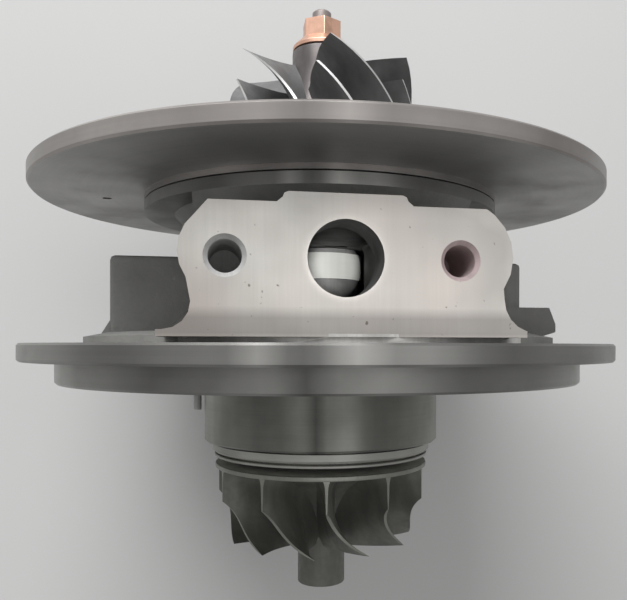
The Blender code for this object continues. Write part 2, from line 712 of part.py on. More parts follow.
def bearing_housing(material):
    housing = turned("bearing_housing", housing_profile(), DISC_SIDES, material)
    join(housing, pad_form())
    for form in side_forms():
        join(housing, form)
    bore = turned("bearing bore", bore_profile(), BODY_SIDES)
    bore.rotation_euler.z = math.pi / BODY_SIDES
    cut(housing, bore)
    cut(housing, turned("oil cavity", cavity_profile(), BODY_SIDES, ring=True))
    rib_low = (-RIB_HALF_WIDTH, (BEARING_BORE + TUBE_RADIUS) / 2, CAVITY_BOTTOM - BORE_LIP)
    rib_high = (RIB_HALF_WIDTH, CAVITY_RADIUS + RIB_HALF_WIDTH / 2, CAVITY_TOP + BORE_LIP)
    join(housing, block("oil rib", rib_low, rib_high))
    slot_low = (-TUBE_RADIUS / 2, -RECESS_RADIUS + BORE_LIP, CAVITY_TOP - BORE_LIP)
    slot_high = (TUBE_RADIUS / 2, -GROOVE_RADIUS - 2 * BORE_LIP, THRUST_SEAT + FIT_GAP)
    cut(housing, block("thrust drain slot", slot_low, slot_high))
    for cutter in pad_drillings() + oil_drillings() + screw_holes():
        cut(housing, cutter)
    pin_top = polar(PIN_CIRCLE, PIN_ANGLE, STEP_BOTTOM + PIN_SEATED)
    pin_mouth = polar(PIN_CIRCLE, PIN_ANGLE, STEP_BOTTOM - BORE_LIP)
    cut(housing, drum("pin hole", pin_mouth, pin_top, PIN_RADIUS + FIT_GAP, sides=FINE_HOLE_SIDES))
    return housing


def locating_pin(material):
    top = polar(PIN_CIRCLE, PIN_ANGLE, STEP_BOTTOM + PIN_SEATED - FIT_GAP)
    shoulder = polar(PIN_CIRCLE, PIN_ANGLE, STEP_BOTTOM - PIN_EXPOSED)
    return drum("locating_pin", shoulder, top, PIN_RADIUS, sides=FINE_HOLE_SIDES, material=material)


def heat_shield(material):
    hole = SEAL_BORE + FIT_GAP
    inner = SHIELD_RADIUS - SHIELD_THICKNESS
    skirt_top = SHIELD_BOTTOM + SHIELD_SKIRT
    corner = SHIELD_THICKNESS / 2
    profile = [
        (SHIELD_RADIUS, skirt_top),
        (SHIELD_RADIUS, SHIELD_BOTTOM + corner),
        (SHIELD_RADIUS - corner, SHIELD_BOTTOM),
        (hole, SHIELD_BOTTOM),
        (hole, SHIELD_TOP),
        (inner, SHIELD_TOP),
        (inner, skirt_top),
    ]
    return turned("heat_shield", profile, WHEEL_SIDES, material, ring=True)


def back_plate(material):
    recess_top = PLATE_SEAT + BAFFLE_RECESS_DEPTH
    profile = [
        (PLATE_BORE, PLATE_TOP),
        *ring_channel(COVER_RING_CIRCLE, PLATE_TOP, cover_groove_depth()),
        (BACK_PLATE_RADIUS - EDGE_CHAMFER, PLATE_TOP),
        (BACK_PLATE_RADIUS, PLATE_TOP - EDGE_CHAMFER),
        (BACK_PLATE_RADIUS, PLATE_BOTTOM + EDGE_CHAMFER),
        (BACK_PLATE_RADIUS - EDGE_CHAMFER, PLATE_BOTTOM),
        (TOP_FLANGE_RADIUS, PLATE_BOTTOM),
        (TOP_FLANGE_RADIUS, PLATE_SEAT),
        (RECESS_RADIUS, PLATE_SEAT),
        (RECESS_RADIUS, recess_top),
        (PLATE_BORE, recess_top),
    ]
    plate = turned("back_plate", profile, DISC_SIDES, material, ring=True)
    dimple_top = polar(DIMPLE_CIRCLE, DIMPLE_ANGLE, PLATE_BOTTOM + DIMPLE_DEPTH)
    dimple_mouth = polar(DIMPLE_CIRCLE, DIMPLE_ANGLE, PLATE_BOTTOM - DIMPLE_DEPTH)
    cut(plate, drum("dimple", dimple_mouth, dimple_top, DIMPLE_RADIUS, sides=FINE_HOLE_SIDES))
    for angle in spread(PLATE_SCREWS, math.pi / PLATE_SCREWS):
        top = polar(PLATE_SCREW_CIRCLE, angle, PLATE_TOP + FIT_GAP)
        seat = polar(PLATE_SCREW_CIRCLE, angle, PLATE_TOP - PLATE_HEAD_HEIGHT - 2 * FIT_GAP)
        bottom = polar(PLATE_SCREW_CIRCLE, angle, PLATE_SEAT - FIT_GAP)
        cut(plate, drum("plate counterbore", seat, top, PLATE_HEAD_RADIUS + FIT_GAP))
        cut(plate, drum("plate clearance hole", bottom, seat, PLATE_SCREW_RADIUS + FIT_GAP))
    return plate


def cover_groove_depth():
    return 2 * O_RING_SECTION - O_RING_PROUD + RING_GAP


def o_ring(name, circle, centre_height, material):
    profile = []
    for angle in reversed(spread(O_RING_POINTS, math.pi / O_RING_POINTS)):
        radius = circle + O_RING_SECTION * math.cos(angle)
        profile.append((radius, centre_height + O_RING_SECTION * math.sin(angle)))
    return turned(name, profile, DISC_SIDES, material, ring=True)


def cover_o_ring(material):
    centre = PLATE_TOP - cover_groove_depth() + RING_GAP + O_RING_SECTION
    return o_ring("back_plate_o_ring", COVER_RING_CIRCLE, centre, material)


def housing_o_ring(material):
    centre = HOUSING_HEIGHT - O_RING_SECTION
    return o_ring("housing_o_ring", HOUSING_RING_CIRCLE, centre, material)


def plate_screw(number, angle, material):
    """A flush screw with a hexagon socket that holds the back plate on the housing."""
    head_top = PLATE_TOP - FIT_GAP
    head_seat = PLATE_TOP - PLATE_HEAD_HEIGHT - FIT_GAP
    bottom = PLATE_TOP - PLATE_SCREW_LENGTH
    profile = [
        (0.0, head_top),
        (PLATE_HEAD_RADIUS, head_top),
        (PLATE_HEAD_RADIUS, head_seat),
        (PLATE_SCREW_RADIUS, head_seat),
        (PLATE_SCREW_RADIUS, bottom),
        (0.0, bottom),
    ]
    name = f"back_plate_screw_{number}"
    screw = turned(name, profile, HOLE_SIDES, material)
    place = polar(PLATE_SCREW_CIRCLE, angle, 0.0)
    screw.location = place
    socket_top = place + Vector((0.0, 0.0, PLATE_TOP))
    socket_floor = place + Vector((0.0, 0.0, head_top - SOCKET_DEPTH))
    cut(screw, drum("socket", socket_floor, socket_top, SOCKET_RADIUS, sides=HEXAGON_SIDES))
    return screw


def thrust_bearing(material):
    """The fixed thrust plate, with oil grooves across its upper face."""
    hole = THRUST_HUB_RADIUS + RUN_GAP
    profile = [
        (THRUST_PLATE_RADIUS, THRUST_PLATE_TOP),
        (THRUST_PLATE_RADIUS, THRUST_PLATE_BOTTOM),
        (hole, THRUST_PLATE_BOTTOM),
        (hole, THRUST_PLATE_TOP),
    ]
    plate = turned("thrust_bearing", profile, BODY_SIDES, material, ring=True)
    for angle in spread(THRUST_SCREWS, math.pi):
        top = polar(THRUST_SCREW_CIRCLE, angle, THRUST_PLATE_TOP + FIT_GAP)
        bottom = polar(THRUST_SCREW_CIRCLE, angle, THRUST_PLATE_BOTTOM - FIT_GAP)
        cut(plate, drum("thrust hole", bottom, top, THRUST_SCREW_RADIUS + FIT_GAP, sides=FINE_HOLE_SIDES))
    for angle in spread(THRUST_GROOVES, math.pi / THRUST_GROOVES):
        height = THRUST_PLATE_TOP
        start = polar(hole - BORE_LIP, angle, height)
        end = polar(THRUST_FLANGE_RADIUS + BORE_LIP, angle, height)
        cut(plate, drum("thrust groove", start, end, THRUST_GROOVE_WIDTH / 2, sides=HEXAGON_SIDES))
    return plate


def oil_baffle(material):
    """A thin plate over the thrust bearing, cut straight on the drain side."""
    hole = THRUST_FLANGE_RADIUS + 2 * RUN_GAP
    profile = [
        (THRUST_PLATE_RADIUS, BAFFLE_TOP),
        (THRUST_PLATE_RADIUS, BAFFLE_BOTTOM),
        (hole, BAFFLE_BOTTOM),
        (hole, BAFFLE_TOP),
    ]
    baffle = turned("oil_baffle", profile, BODY_SIDES, material, ring=True)
    low = (-THRUST_PLATE_RADIUS, -2 * THRUST_PLATE_RADIUS, BAFFLE_BOTTOM - BORE_LIP)
    high = (THRUST_PLATE_RADIUS, -BAFFLE_CUT, BAFFLE_TOP + BORE_LIP)
    cut(baffle, block("baffle cut", low, high))
    for angle in spread(THRUST_SCREWS, math.pi):
        top = polar(THRUST_SCREW_CIRCLE, angle, BAFFLE_TOP + FIT_GAP)
        bottom = polar(THRUST_SCREW_CIRCLE, angle, BAFFLE_BOTTOM - FIT_GAP)
        cut(baffle, drum("baffle hole", bottom, top, THRUST_SCREW_RADIUS + FIT_GAP, sides=FINE_HOLE_SIDES))
    return baffle


def thrust_screw(number, angle, material):
    head_seat = BAFFLE_TOP + FIT_GAP
    head_top = head_seat + THRUST_HEAD_HEIGHT
    bottom = THRUST_SEAT - THRUST_SCREW_DEPTH
    profile = [
        (0.0, head_top),
        (THRUST_HEAD_RADIUS, head_top),
        (THRUST_HEAD_RADIUS, head_seat),
        (THRUST_SCREW_RADIUS, head_seat),
        (THRUST_SCREW_RADIUS, bottom),
        (0.0, bottom),
    ]
    screw = turned(f"thrust_bearing_screw_{number}", profile, HOLE_SIDES, material)
    screw.location = polar(THRUST_SCREW_CIRCLE, angle, 0.0)
    return screw


def circlip(name, groove_bottom, material):
    """A snap ring in its groove, with its gap on the drain side."""
    outer = GROOVE_RADIUS - FIT_GAP
    inner = outer - CIRCLIP_WIDTH
    bottom = groove_bottom + RING_GAP
    profile = [
        (outer, bottom + CIRCLIP_THICKNESS),
        (outer, bottom),
        (inner, bottom),
        (inner, bottom + CIRCLIP_THICKNESS),
    ]
    ring = turned(name, profile, HOLE_SIDES, material, ring=True)
    low = (-CIRCLIP_GAP_WIDTH / 2, -2 * outer, bottom - CIRCLIP_THICKNESS)
    high = (CIRCLIP_GAP_WIDTH / 2, -inner / 2, bottom + 2 * CIRCLIP_THICKNESS)
    cut(ring, block(name + " gap", low, high))
    return ring


def journal_bearing(name, bottom, material):
    """A floating bush with radial oil holes."""
    inner = JOURNAL_RADIUS + RUN_GAP
    top = bottom + BEARING_LENGTH
    chamfer = EDGE_CHAMFER
    profile = [
        (BEARING_RADIUS - chamfer, top),
        (BEARING_RADIUS, top - chamfer),
        (BEARING_RADIUS, bottom + chamfer),
        (BEARING_RADIUS - chamfer, bottom),
        (inner, bottom),
        (inner, top),
    ]
    axis = make_empty(name + "_axis", CARTRIDGE)
    bush = turned(name, profile, SMALL_SIDES, material, parent=axis, ring=True)
    middle = bottom + BEARING_LENGTH / 2
    for angle in spread(BEARING_OIL_HOLES, math.pi / SMALL_SIDES):
        start = polar(inner - RUN_GAP, angle, middle)
        end = polar(BEARING_RADIUS + RUN_GAP, angle, middle)
        cut(bush, drum("bush oil hole", start, end, BEARING_OIL_HOLE, sides=FINE_HOLE_SIDES))
    return bush


def piston_ring(name, bore, centre_height, material):
    outer = bore - RING_GAP
    inner = outer - PISTON_RING_WIDTH
    top = centre_height + PISTON_RING_THICKNESS / 2
    bottom = centre_height - PISTON_RING_THICKNESS / 2
    profile = [(outer, top), (outer, bottom), (inner, bottom), (inner, top)]
    return turned(name, profile, BODY_SIDES, material, ring=True)


def ring_groove(radius, bore, centre_height):
    """Outline points of a piston ring groove, down the outer side of a shaft piece."""
    floor = bore - RING_GAP - PISTON_RING_WIDTH - RING_GAP
    half = PISTON_RING_THICKNESS / 2 + RING_GAP
    return [
        (radius, centre_height + half),
        (floor, centre_height + half),
        (floor, centre_height - half),
        (radius, centre_height - half),
    ]


def rotor_shaft(material):
    weld = TURBINE_BACK + FIT_GAP + TURBINE_DISC
    relief_top = COMPRESSOR_BEARING_BOTTOM - BORE_LIP
    relief_bottom = TURBINE_BEARING_TOP + BORE_LIP
    thread_start = WHEEL_NOSE - BORE_LIP
    slinger_top = OIL_POCKET_BOTTOM + BORE_LIP
    profile = [
        (0.0, SHAFT_TIP),
        (THREAD_RADIUS - EDGE_CHAMFER, SHAFT_TIP),
        (THREAD_RADIUS, SHAFT_TIP - EDGE_CHAMFER),
        (THREAD_RADIUS, thread_start),
        (STUB_RADIUS, thread_start),
        (STUB_RADIUS, SHAFT_SHOULDER),
        (JOURNAL_RADIUS, SHAFT_SHOULDER),
        (JOURNAL_RADIUS, relief_top),
        (JOURNAL_RADIUS - SHAFT_RELIEF, relief_top),
        (JOURNAL_RADIUS - SHAFT_RELIEF, relief_bottom),
        (JOURNAL_RADIUS, relief_bottom),
        (JOURNAL_RADIUS, slinger_top + BORE_LIP),
        (SEAL_HUB_RADIUS, slinger_top),
        *ring_groove(SEAL_HUB_RADIUS, SEAL_BORE, TURBINE_RING_HEIGHT),
        (SEAL_HUB_RADIUS, weld),
        (0.0, weld),
    ]
    return turned("rotor_shaft", profile, SMALL_SIDES, material, ROTOR)


def thrust_collar(material):
    profile = [
        (THRUST_HUB_RADIUS, SLEEVE_BOTTOM - FIT_GAP),
        (THRUST_HUB_RADIUS, THRUST_PLATE_BOTTOM - RUN_GAP),
        (THRUST_FLANGE_RADIUS, THRUST_PLATE_BOTTOM - RUN_GAP),
        (THRUST_FLANGE_RADIUS, COLLAR_BOTTOM),
        (SHAFT_BORE, COLLAR_BOTTOM),
        (SHAFT_BORE, SLEEVE_BOTTOM - FIT_GAP),
    ]
    return turned("thrust_collar", profile, SMALL_SIDES, material, ROTOR, ring=True)


def seal_sleeve(material):
    """The oil thrower: a flange over the thrust bearing and a sleeve through the back plate."""
    profile = [
        (SLEEVE_RADIUS, SLEEVE_TOP),
        *ring_groove(SLEEVE_RADIUS, PLATE_BORE, COMPRESSOR_RING_HEIGHT),
        (SLEEVE_RADIUS, SLEEVE_FLANGE_TOP),
        (THRUST_FLANGE_RADIUS, SLEEVE_FLANGE_TOP),
        (THRUST_FLANGE_RADIUS, SLEEVE_BOTTOM),
        (SHAFT_BORE, SLEEVE_BOTTOM),
        (SHAFT_BORE, SLEEVE_TOP),
    ]
    return turned("seal_sleeve", profile, SMALL_SIDES, material, ROTOR, ring=True)


def compressor_hub(t):
    """(radius, height) on the compressor hub, from the blades' inlet at 0 to their outlet at 1."""
    disc_top = WHEEL_BACK + COMPRESSOR_DISC
    inlet = WHEEL_BACK + COMPRESSOR_BLADE_HEIGHT
    turn = t * math.pi / 2
    reach = COMPRESSOR_RADIUS - COMPRESSOR_HUB_RADIUS
    radius = COMPRESSOR_HUB_RADIUS + reach * (1 - math.cos(turn))
    return radius, inlet - (inlet - disc_top) * math.sin(turn)


def compressor_tip(t):
    disc_top = WHEEL_BACK + COMPRESSOR_DISC
    inlet = WHEEL_BACK + COMPRESSOR_BLADE_HEIGHT
    outlet = disc_top + COMPRESSOR_TIP_WIDTH
    turn = t * math.pi / 2
    reach = COMPRESSOR_RADIUS - BLADE_EDGE_INSET - INDUCER_RADIUS
    radius = INDUCER_RADIUS + reach * (1 - math.cos(turn))
    return radius, inlet - (inlet - outlet) * math.sin(turn)


def compressor_angle(t, share):
    """The blade winds round as it goes down, and leans at its inlet, root behind edge."""
    wrap = COMPRESSOR_WRAP * (1 - (1 - t) ** COMPRESSOR_ENTRY_CURL) + COMPRESSOR_BACKSWEEP * t**3
    return wrap - COMPRESSOR_LEAN * (1 - t) * (1 - share)


def turbine_hub(t):
    """(radius, height) on the turbine hub, from the blades' inlet at 0 to their outlet at 1."""
    turn = t * math.pi / 2
    reach = TURBINE_RADIUS - BLADE_EDGE_INSET - TURBINE_HUB_RADIUS
    radius = TURBINE_HUB_RADIUS + reach * (1 - math.sin(turn))
    return radius, TURBINE_FACE - EXDUCER_DEPTH * (1 - math.cos(turn))


def turbine_tip(t):
    inlet = TURBINE_FACE - TURBINE_INLET_WIDTH
    outlet = TURBINE_BACK - EXDUCER_DEPTH
    radius = EXDUCER_RADIUS + (TURBINE_RADIUS - BLADE_EDGE_INSET - EXDUCER_RADIUS) * (1 - t) ** 4
    return radius, inlet + (outlet - inlet) * t


def turbine_angle(t, share):
    """Straight where the gas enters, and curling faster towards the outlet and the edge."""
    curl = TURBINE_EARLY_CURL * t + (1 - TURBINE_EARLY_CURL) * t**TURBINE_LATE_CURL
    return TURBINE_WRAP * curl * (TURBINE_HUB_SHARE + (1 - TURBINE_HUB_SHARE) * share)


def add_blade(bm, wheel, phase, start=0.0):
    """Lofts one blade between its two curved sides, with its root sunk into the hub."""
    stations = []
    for step in range(BLADE_STEPS + 1):
        t = start + (1.0 - start) * step / BLADE_STEPS
        hub_radius, hub_height = wheel.hub(t)
        tip_radius, tip_height = wheel.tip(t)
        span = math.hypot(tip_radius - hub_radius, tip_height - hub_height)
        at_end = step in (0, BLADE_STEPS)
        station = []
        for share in (-BLADE_ROOT_DEPTH / span, 0.5, 1.0):
            radius = hub_radius + share * (tip_radius - hub_radius)
            height = hub_height + share * (tip_height - hub_height)
            angle = phase + wheel.angle(t, share)
            thickness = wheel.root + share * (wheel.edge - wheel.root)
            half = thickness / (4 if at_end else 2) / radius
            station.append([bm.verts.new(polar(radius, angle + side * half, height)) for side in (-1, 1)])
        stations.append(station)
    rows = len(stations[0])
    for near, far in zip(stations, stations[1:]):
        for row in range(rows - 1):
            for side in (0, 1):
                bm.faces.new((near[row][side], near[row + 1][side], far[row + 1][side], far[row][side]))
        for row in (0, rows - 1):
            bm.faces.new((near[row][0], near[row][1], far[row][1], far[row][0]))
    for station in (stations[0], stations[-1]):
        for row in range(rows - 1):
            bm.faces.new((station[row][0], station[row][1], station[row + 1][1], station[row + 1][0]))


def hub_curve(curve, top_first):
    points = [curve(i / HUB_POINTS) for i in range(HUB_POINTS + 1)]
    return points if top_first else points[::-1]


def compressor_wheel(material):
    chamfer = EDGE_CHAMFER
    profile = [
        (COMPRESSOR_HUB_RADIUS - chamfer, WHEEL_NOSE),
        (COMPRESSOR_HUB_RADIUS, WHEEL_NOSE - chamfer),
        *hub_curve(compressor_hub, True),
        (COMPRESSOR_RADIUS, WHEEL_BACK),
        (SHAFT_BORE, WHEEL_BACK),
        (SHAFT_BORE, WHEEL_NOSE),
    ]
    wheel = turned("compressor_wheel", profile, WHEEL_SIDES, material, ROTOR, ring=True)
    shape = Wheel(compressor_hub, compressor_tip, compressor_angle, COMPRESSOR_ROOT, COMPRESSOR_EDGE)
    bm = bmesh.new()
    for angle in spread(FULL_BLADES, COMPRESSOR_PHASE):
        add_blade(bm, shape, angle)
        add_blade(bm, shape, angle + math.pi / FULL_BLADES, SPLITTER_START)
    join(wheel, add_object("compressor blades", mesh_from(bm, "compressor blades"), parent=ROTOR))
    return wheel


def turbine_wheel(material):
    back_hub = TURBINE_BACK + TURBINE_DISC
    outlet = turbine_hub(1.0)[1]
    nose_round = TURBINE_NOSE_RADIUS / 5
    profile = [
        (0.0, back_hub),
        (SEAL_HUB_RADIUS, back_hub),
        (SEAL_HUB_RADIUS, TURBINE_BACK),
        (TURBINE_RADIUS, TURBINE_BACK),
        (TURBINE_RADIUS, TURBINE_FACE),
        *hub_curve(turbine_hub, True),
        (TURBINE_NOSE_RADIUS, outlet - TURBINE_DISC),
        (TURBINE_NOSE_RADIUS, TURBINE_END + nose_round),
        (TURBINE_NOSE_RADIUS - nose_round, TURBINE_END),
        (0.0, TURBINE_END),
    ]
    wheel = turned("turbine_wheel", profile, WHEEL_SIDES, material, ROTOR)
    shape = Wheel(turbine_hub, turbine_tip, turbine_angle, TURBINE_ROOT, TURBINE_EDGE)
    bm = bmesh.new()
    for angle in spread(TURBINE_BLADES, TURBINE_PHASE):
        add_blade(bm, shape, angle)
    join(wheel, add_object("turbine blades", mesh_from(bm, "turbine blades"), parent=ROTOR))
    return wheel


def compressor_nut(material):
    """A hexagon nut with a flared skirt, bored over the shaft's thread."""
    circumradius = NUT_ACROSS_FLATS / 2 / math.cos(math.pi / 6)
    skirt_top = NUT_BOTTOM + NUT_SKIRT_HEIGHT
    bore = THREAD_RADIUS + FIT_GAP
    profile = [
        (0.0, skirt_top),
        (circumradius + EDGE_CHAMFER / 2, skirt_top),
        (NUT_SKIRT_RADIUS, NUT_BOTTOM + NUT_SKIRT_HEIGHT / 3),
        (NUT_SKIRT_RADIUS, NUT_BOTTOM),
        (0.0, NUT_BOTTOM),
    ]
    nut = turned("compressor_nut", profile, SMALL_SIDES, material, ROTOR)
    hexagon = drum(
        "nut hexagon",
        (0.0, 0.0, skirt_top - NUT_SKIRT_HEIGHT / 3),
        (0.0, 0.0, NUT_TOP),
        circumradius,
        sides=HEXAGON_SIDES,
        parent=ROTOR,
    )
    join(nut, hexagon)
    hole_low = (0.0, 0.0, NUT_BOTTOM - BORE_LIP)
    hole_high = (0.0, 0.0, NUT_TOP + BORE_LIP)
    cut(nut, drum("nut bore", hole_low, hole_high, bore, parent=ROTOR))
    return nut


def settle(objects):
    """Turns each object's modifiers into its mesh and shades its round faces smooth."""
    bpy.context.view_layer.update()
    graph = bpy.context.evaluated_depsgraph_get()
    meshes = [bpy.data.meshes.new_from_object(obj.evaluated_get(graph)) for obj in objects]
    for obj, mesh in zip(objects, meshes):
        obj.modifiers.clear()
        obj.data = mesh
        mesh.name = obj.name
        mesh.shade_smooth()
        mesh.set_sharp_from_angle(angle=SHARP_ANGLE)


def clear_scene():
    for obj in list(bpy.data.objects):
        bpy.data.objects.remove(obj, do_unlink=True)


def build():
    cast_iron = make_material("cast iron", (0.16, 0.16, 0.15), 0.55, 0.6)
    plate_steel = make_material("machined plate", (0.36, 0.34, 0.32), 0.42, 0.9)
    sheet_steel = make_material("heat shield steel", (0.16, 0.17, 0.15), 0.5, 0.8)
    bright_steel = make_material("ground steel", (0.5, 0.49, 0.47), 0.28, 1.0)
    aluminium = make_material("milled aluminium", (0.33, 0.33, 0.33), 0.35, 0.9)
    turbine_alloy = make_material("turbine alloy", (0.07, 0.07, 0.06), 0.5, 0.7)
    bronze = make_material("bearing bronze", (0.62, 0.43, 0.22), 0.35, 1.0)
    copper = make_material("coppered steel", (0.75, 0.42, 0.28), 0.3, 1.0)
    rubber = make_material("seal rubber", (0.02, 0.02, 0.02), 0.7, 0.0)

    objects = [
        bearing_housing(cast_iron),
        locating_pin(bright_steel),
        heat_shield(sheet_steel),
        back_plate(plate_steel),
        cover_o_ring(rubber),
        housing_o_ring(rubber),
        thrust_bearing(bronze),
        oil_baffle(bright_steel),
        journal_bearing("journal_bearing_turbine", TURBINE_BEARING_BOTTOM, bronze),
        journal_bearing("journal_bearing_compressor", COMPRESSOR_BEARING_BOTTOM, bronze),
        piston_ring("turbine_piston_ring", SEAL_BORE, TURBINE_RING_HEIGHT, bright_steel),
        piston_ring("compressor_piston_ring", PLATE_BORE, COMPRESSOR_RING_HEIGHT, bright_steel),
        rotor_shaft(bright_steel),
        thrust_collar(bright_steel),
        seal_sleeve(bright_steel),
        compressor_wheel(aluminium),
        turbine_wheel(turbine_alloy),
        compressor_nut(copper),
    ]
    for number, angle in enumerate(spread(PLATE_SCREWS, math.pi / PLATE_SCREWS), 1):
        objects.append(plate_screw(number, angle, bright_steel))
    for number, angle in enumerate(spread(THRUST_SCREWS, math.pi), 1):
        objects.append(thrust_screw(number, angle, bright_steel))
    for number, bottom in enumerate(circlip_grooves(), 1):
        objects.append(circlip(f"circlip_{number}", bottom, bright_steel))
    settle(objects)


clear_scene()
PARTS = make_collection("turbo_cartridge")
HELPERS = make_collection("cutters")
CARTRIDGE = make_empty("cartridge_axis")
CARTRIDGE.location = (0.0, AXIS_START, AXIS_HEIGHT)
CARTRIDGE.rotation_euler = (-math.pi / 2, 0.0, 0.0)
ROTOR = make_empty("rotor_axis", CARTRIDGE)
build()
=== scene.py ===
import json
import math

import bmesh
import bpy
from mathutils import Matrix, Vector

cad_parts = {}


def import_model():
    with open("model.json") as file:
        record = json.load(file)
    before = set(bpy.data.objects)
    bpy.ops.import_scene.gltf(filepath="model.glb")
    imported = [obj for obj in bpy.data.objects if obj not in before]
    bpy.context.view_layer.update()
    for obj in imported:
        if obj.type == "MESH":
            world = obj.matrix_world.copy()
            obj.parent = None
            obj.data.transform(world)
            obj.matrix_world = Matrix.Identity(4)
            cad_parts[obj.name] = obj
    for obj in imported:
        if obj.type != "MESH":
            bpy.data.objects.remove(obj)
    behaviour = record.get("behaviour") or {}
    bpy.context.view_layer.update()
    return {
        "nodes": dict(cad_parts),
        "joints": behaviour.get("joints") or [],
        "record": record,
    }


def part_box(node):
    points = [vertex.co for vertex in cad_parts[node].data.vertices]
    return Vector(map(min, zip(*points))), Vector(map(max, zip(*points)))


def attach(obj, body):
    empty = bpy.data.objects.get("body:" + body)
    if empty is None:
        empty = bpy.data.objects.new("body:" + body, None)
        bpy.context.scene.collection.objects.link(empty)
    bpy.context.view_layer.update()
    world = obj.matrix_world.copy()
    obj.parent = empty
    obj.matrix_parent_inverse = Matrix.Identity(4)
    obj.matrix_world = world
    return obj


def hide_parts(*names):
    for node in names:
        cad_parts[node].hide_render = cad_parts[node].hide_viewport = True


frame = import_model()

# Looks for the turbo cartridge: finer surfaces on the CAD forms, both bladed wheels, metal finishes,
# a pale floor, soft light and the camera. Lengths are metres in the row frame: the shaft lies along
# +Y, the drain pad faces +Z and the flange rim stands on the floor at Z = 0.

MM = 0.001
JOINTS = {joint["name"]: joint for joint in frame["joints"]}
MOUNTS = {mount["name"]: mount for mount in frame["record"]["mounts"]}

# Places worked out from the frame.
AXIS_HEIGHT = JOINTS["rotor_spin"]["pos_m"][2]
FLANGE_THICKNESS = 3.5 * MM
FLANGE_LEVEL = MOUNTS["turbine_flange"]["pos_m"][1] + FLANGE_THICKNESS
PAD_FACE = MOUNTS["drain_pad"]["pos_m"][2]
PAD_HOLE_LEVEL = MOUNTS["drain_pad"]["pos_m"][1]
SHAFT_LINE = (Vector((0.0, 0.0, AXIS_HEIGHT)), Vector((0.0, 1.0, 0.0)))

# Sizes of the housing that tell its finishes apart.
PLATEAU_RADIUS = 50.0 * MM
PLATEAU_HEIGHT = 2.15 * MM
STEP_DEPTH = 7.95 * MM
TOP_FLANGE_LEVEL = 27.35 * MM
TUBE_LAND_RADIUS = 9.0 * MM
TUBE_LAND_START = 8.6 * MM
CAVITY_RADIUS = 19.0 * MM
PAD_OFFSET = -2.8 * MM
PAD_SLACK = 0.1 * MM
BOLT_SPACING = 37.2 * MM
BOLT_REACH = 4.6 * MM
DRAIN_REACH = 7.2 * MM

# Arcs of the pad's outline: (centre from the pad's middle, height, radius).
PAD_ARCS = (
    (-18.6 * MM, 13.9 * MM, 7.05 * MM),
    (18.6 * MM, 13.9 * MM, 8.85 * MM),
    (-27.9 * MM, 6.2 * MM, 4.2 * MM),
    (31.3 * MM, 6.98 * MM, 5.3 * MM),
)

# The housing's waist under the top flange: a ring (radius, height) that is cut away, except inside
# two boxes from (x, height, rise) to (x, height, rise), all in millimetres, and round the inlet.
CAD_SIDES = 46
WAIST_CUT = ((40.0, 27.45), (31.9, 27.45), (30.7, 26.3), (29.65, 23.8), (29.65, 14.9), (40.0, 14.9))
PAD_KEEP = ((-27.2, 10.0, 12.0), (25.0, 30.0, 60.0))
BLOCK_KEEP = ((-46.0, 10.0, -14.15), (46.0, 18.3, 8.15))
INLET_LEVEL = 12.5 * MM
INLET_KEEP = 11.8 * MM
INLET_REACH = 45.0 * MM
DRUM_SIDES = 48

# The screw bosses under the top flange.
SCREW_CIRCLE = 31.5 * MM
SCREW_TURN = math.pi / 4
SCREW_BOSS_RADIUS = 3.8 * MM
SCREW_BOSS_LEVELS = (23.3 * MM, 27.6 * MM)

# The pad's right foot, and the lug's corners (x, height) in millimetres, before and after.
FOOT_END = 29.95 * MM
FOOT_BOTTOM = 0.5 * MM
FOOT_TOP = 2.2 * MM
FOOT_DEPTH = 8.5 * MM
FOOT_REAR = 40.0 * MM
LUG_INNER = (43.55, 3.125)
LUG_OUTER = (51.6, 3.125)
LUG_INNER_TO = (47.8, 1.6)
LUG_OUTER_TO = (51.6, 2.75)
CORNER_SLACK = 0.2 * MM

# The plateau's rim, and the strip along the pad's bottom edge, (x, height) in millimetres.
PLATEAU_RIM = 1.4 * MM
PLATEAU_SETBACK = 0.3 * MM
PAD_EDGE = ((-5.7, 0.95), (5.7, 1.42))
PAD_EDGE_THICKNESS = 1.0
PAD_EDGE_INSET = 0.01

# How a face's direction is told: flat across an axis, the pad's own plane, or side on.
FLAT = 0.9
PAD_PLANE = 0.99
SIDE_ON = 0.5

# How surfaces are made finer.
WELD = 0.002 * MM
SAME = 0.01 * MM
FLAT_ANGLE = math.radians(0.4)
SHARP_ANGLE = math.radians(30.0)
ARC_CUTS = 3
HOLE_CUTS = 2
SMALLEST_ARC = 0.5 * MM
LARGEST_ARC = 70.0 * MM
LONGEST_CHORD = 0.9
EDGE_EASE = 0.18 * MM

# Camera: a close view from in front of the drain pad, a little to its left.
IMAGE_WIDTH = 627
IMAGE_HEIGHT = 600
SENSOR_WIDTH = 36.0
FOCAL_PIXELS = 718.6
CENTRE_X = 354.6
CENTRE_Y = 353.0
CAMERA_PLACE = Vector((-21.606 * MM, FLANGE_LEVEL - 0.546 * MM, AXIS_HEIGHT + 159.80 * MM))
CAMERA_PITCH = -0.0090
CAMERA_ROLL = -0.0018
CAMERA_YAW = 0.0462
CLIP_START = 0.01
PAD_TURN = math.radians(7.7)

# The beam on the bearing tube, through the middle of the drain hole.
TUBE_SEEN = 2.0 * MM
TUBE_LAND_MIDDLE = 16.6 * MM
TUBE_LIGHT_DISTANCE = 0.4
TUBE_BEAM = math.radians(1.75)
TUBE_BLEND = 0.35
TUBE_LAMP_RADIUS = 2.0 * MM
TUBE_POWER = 7.0

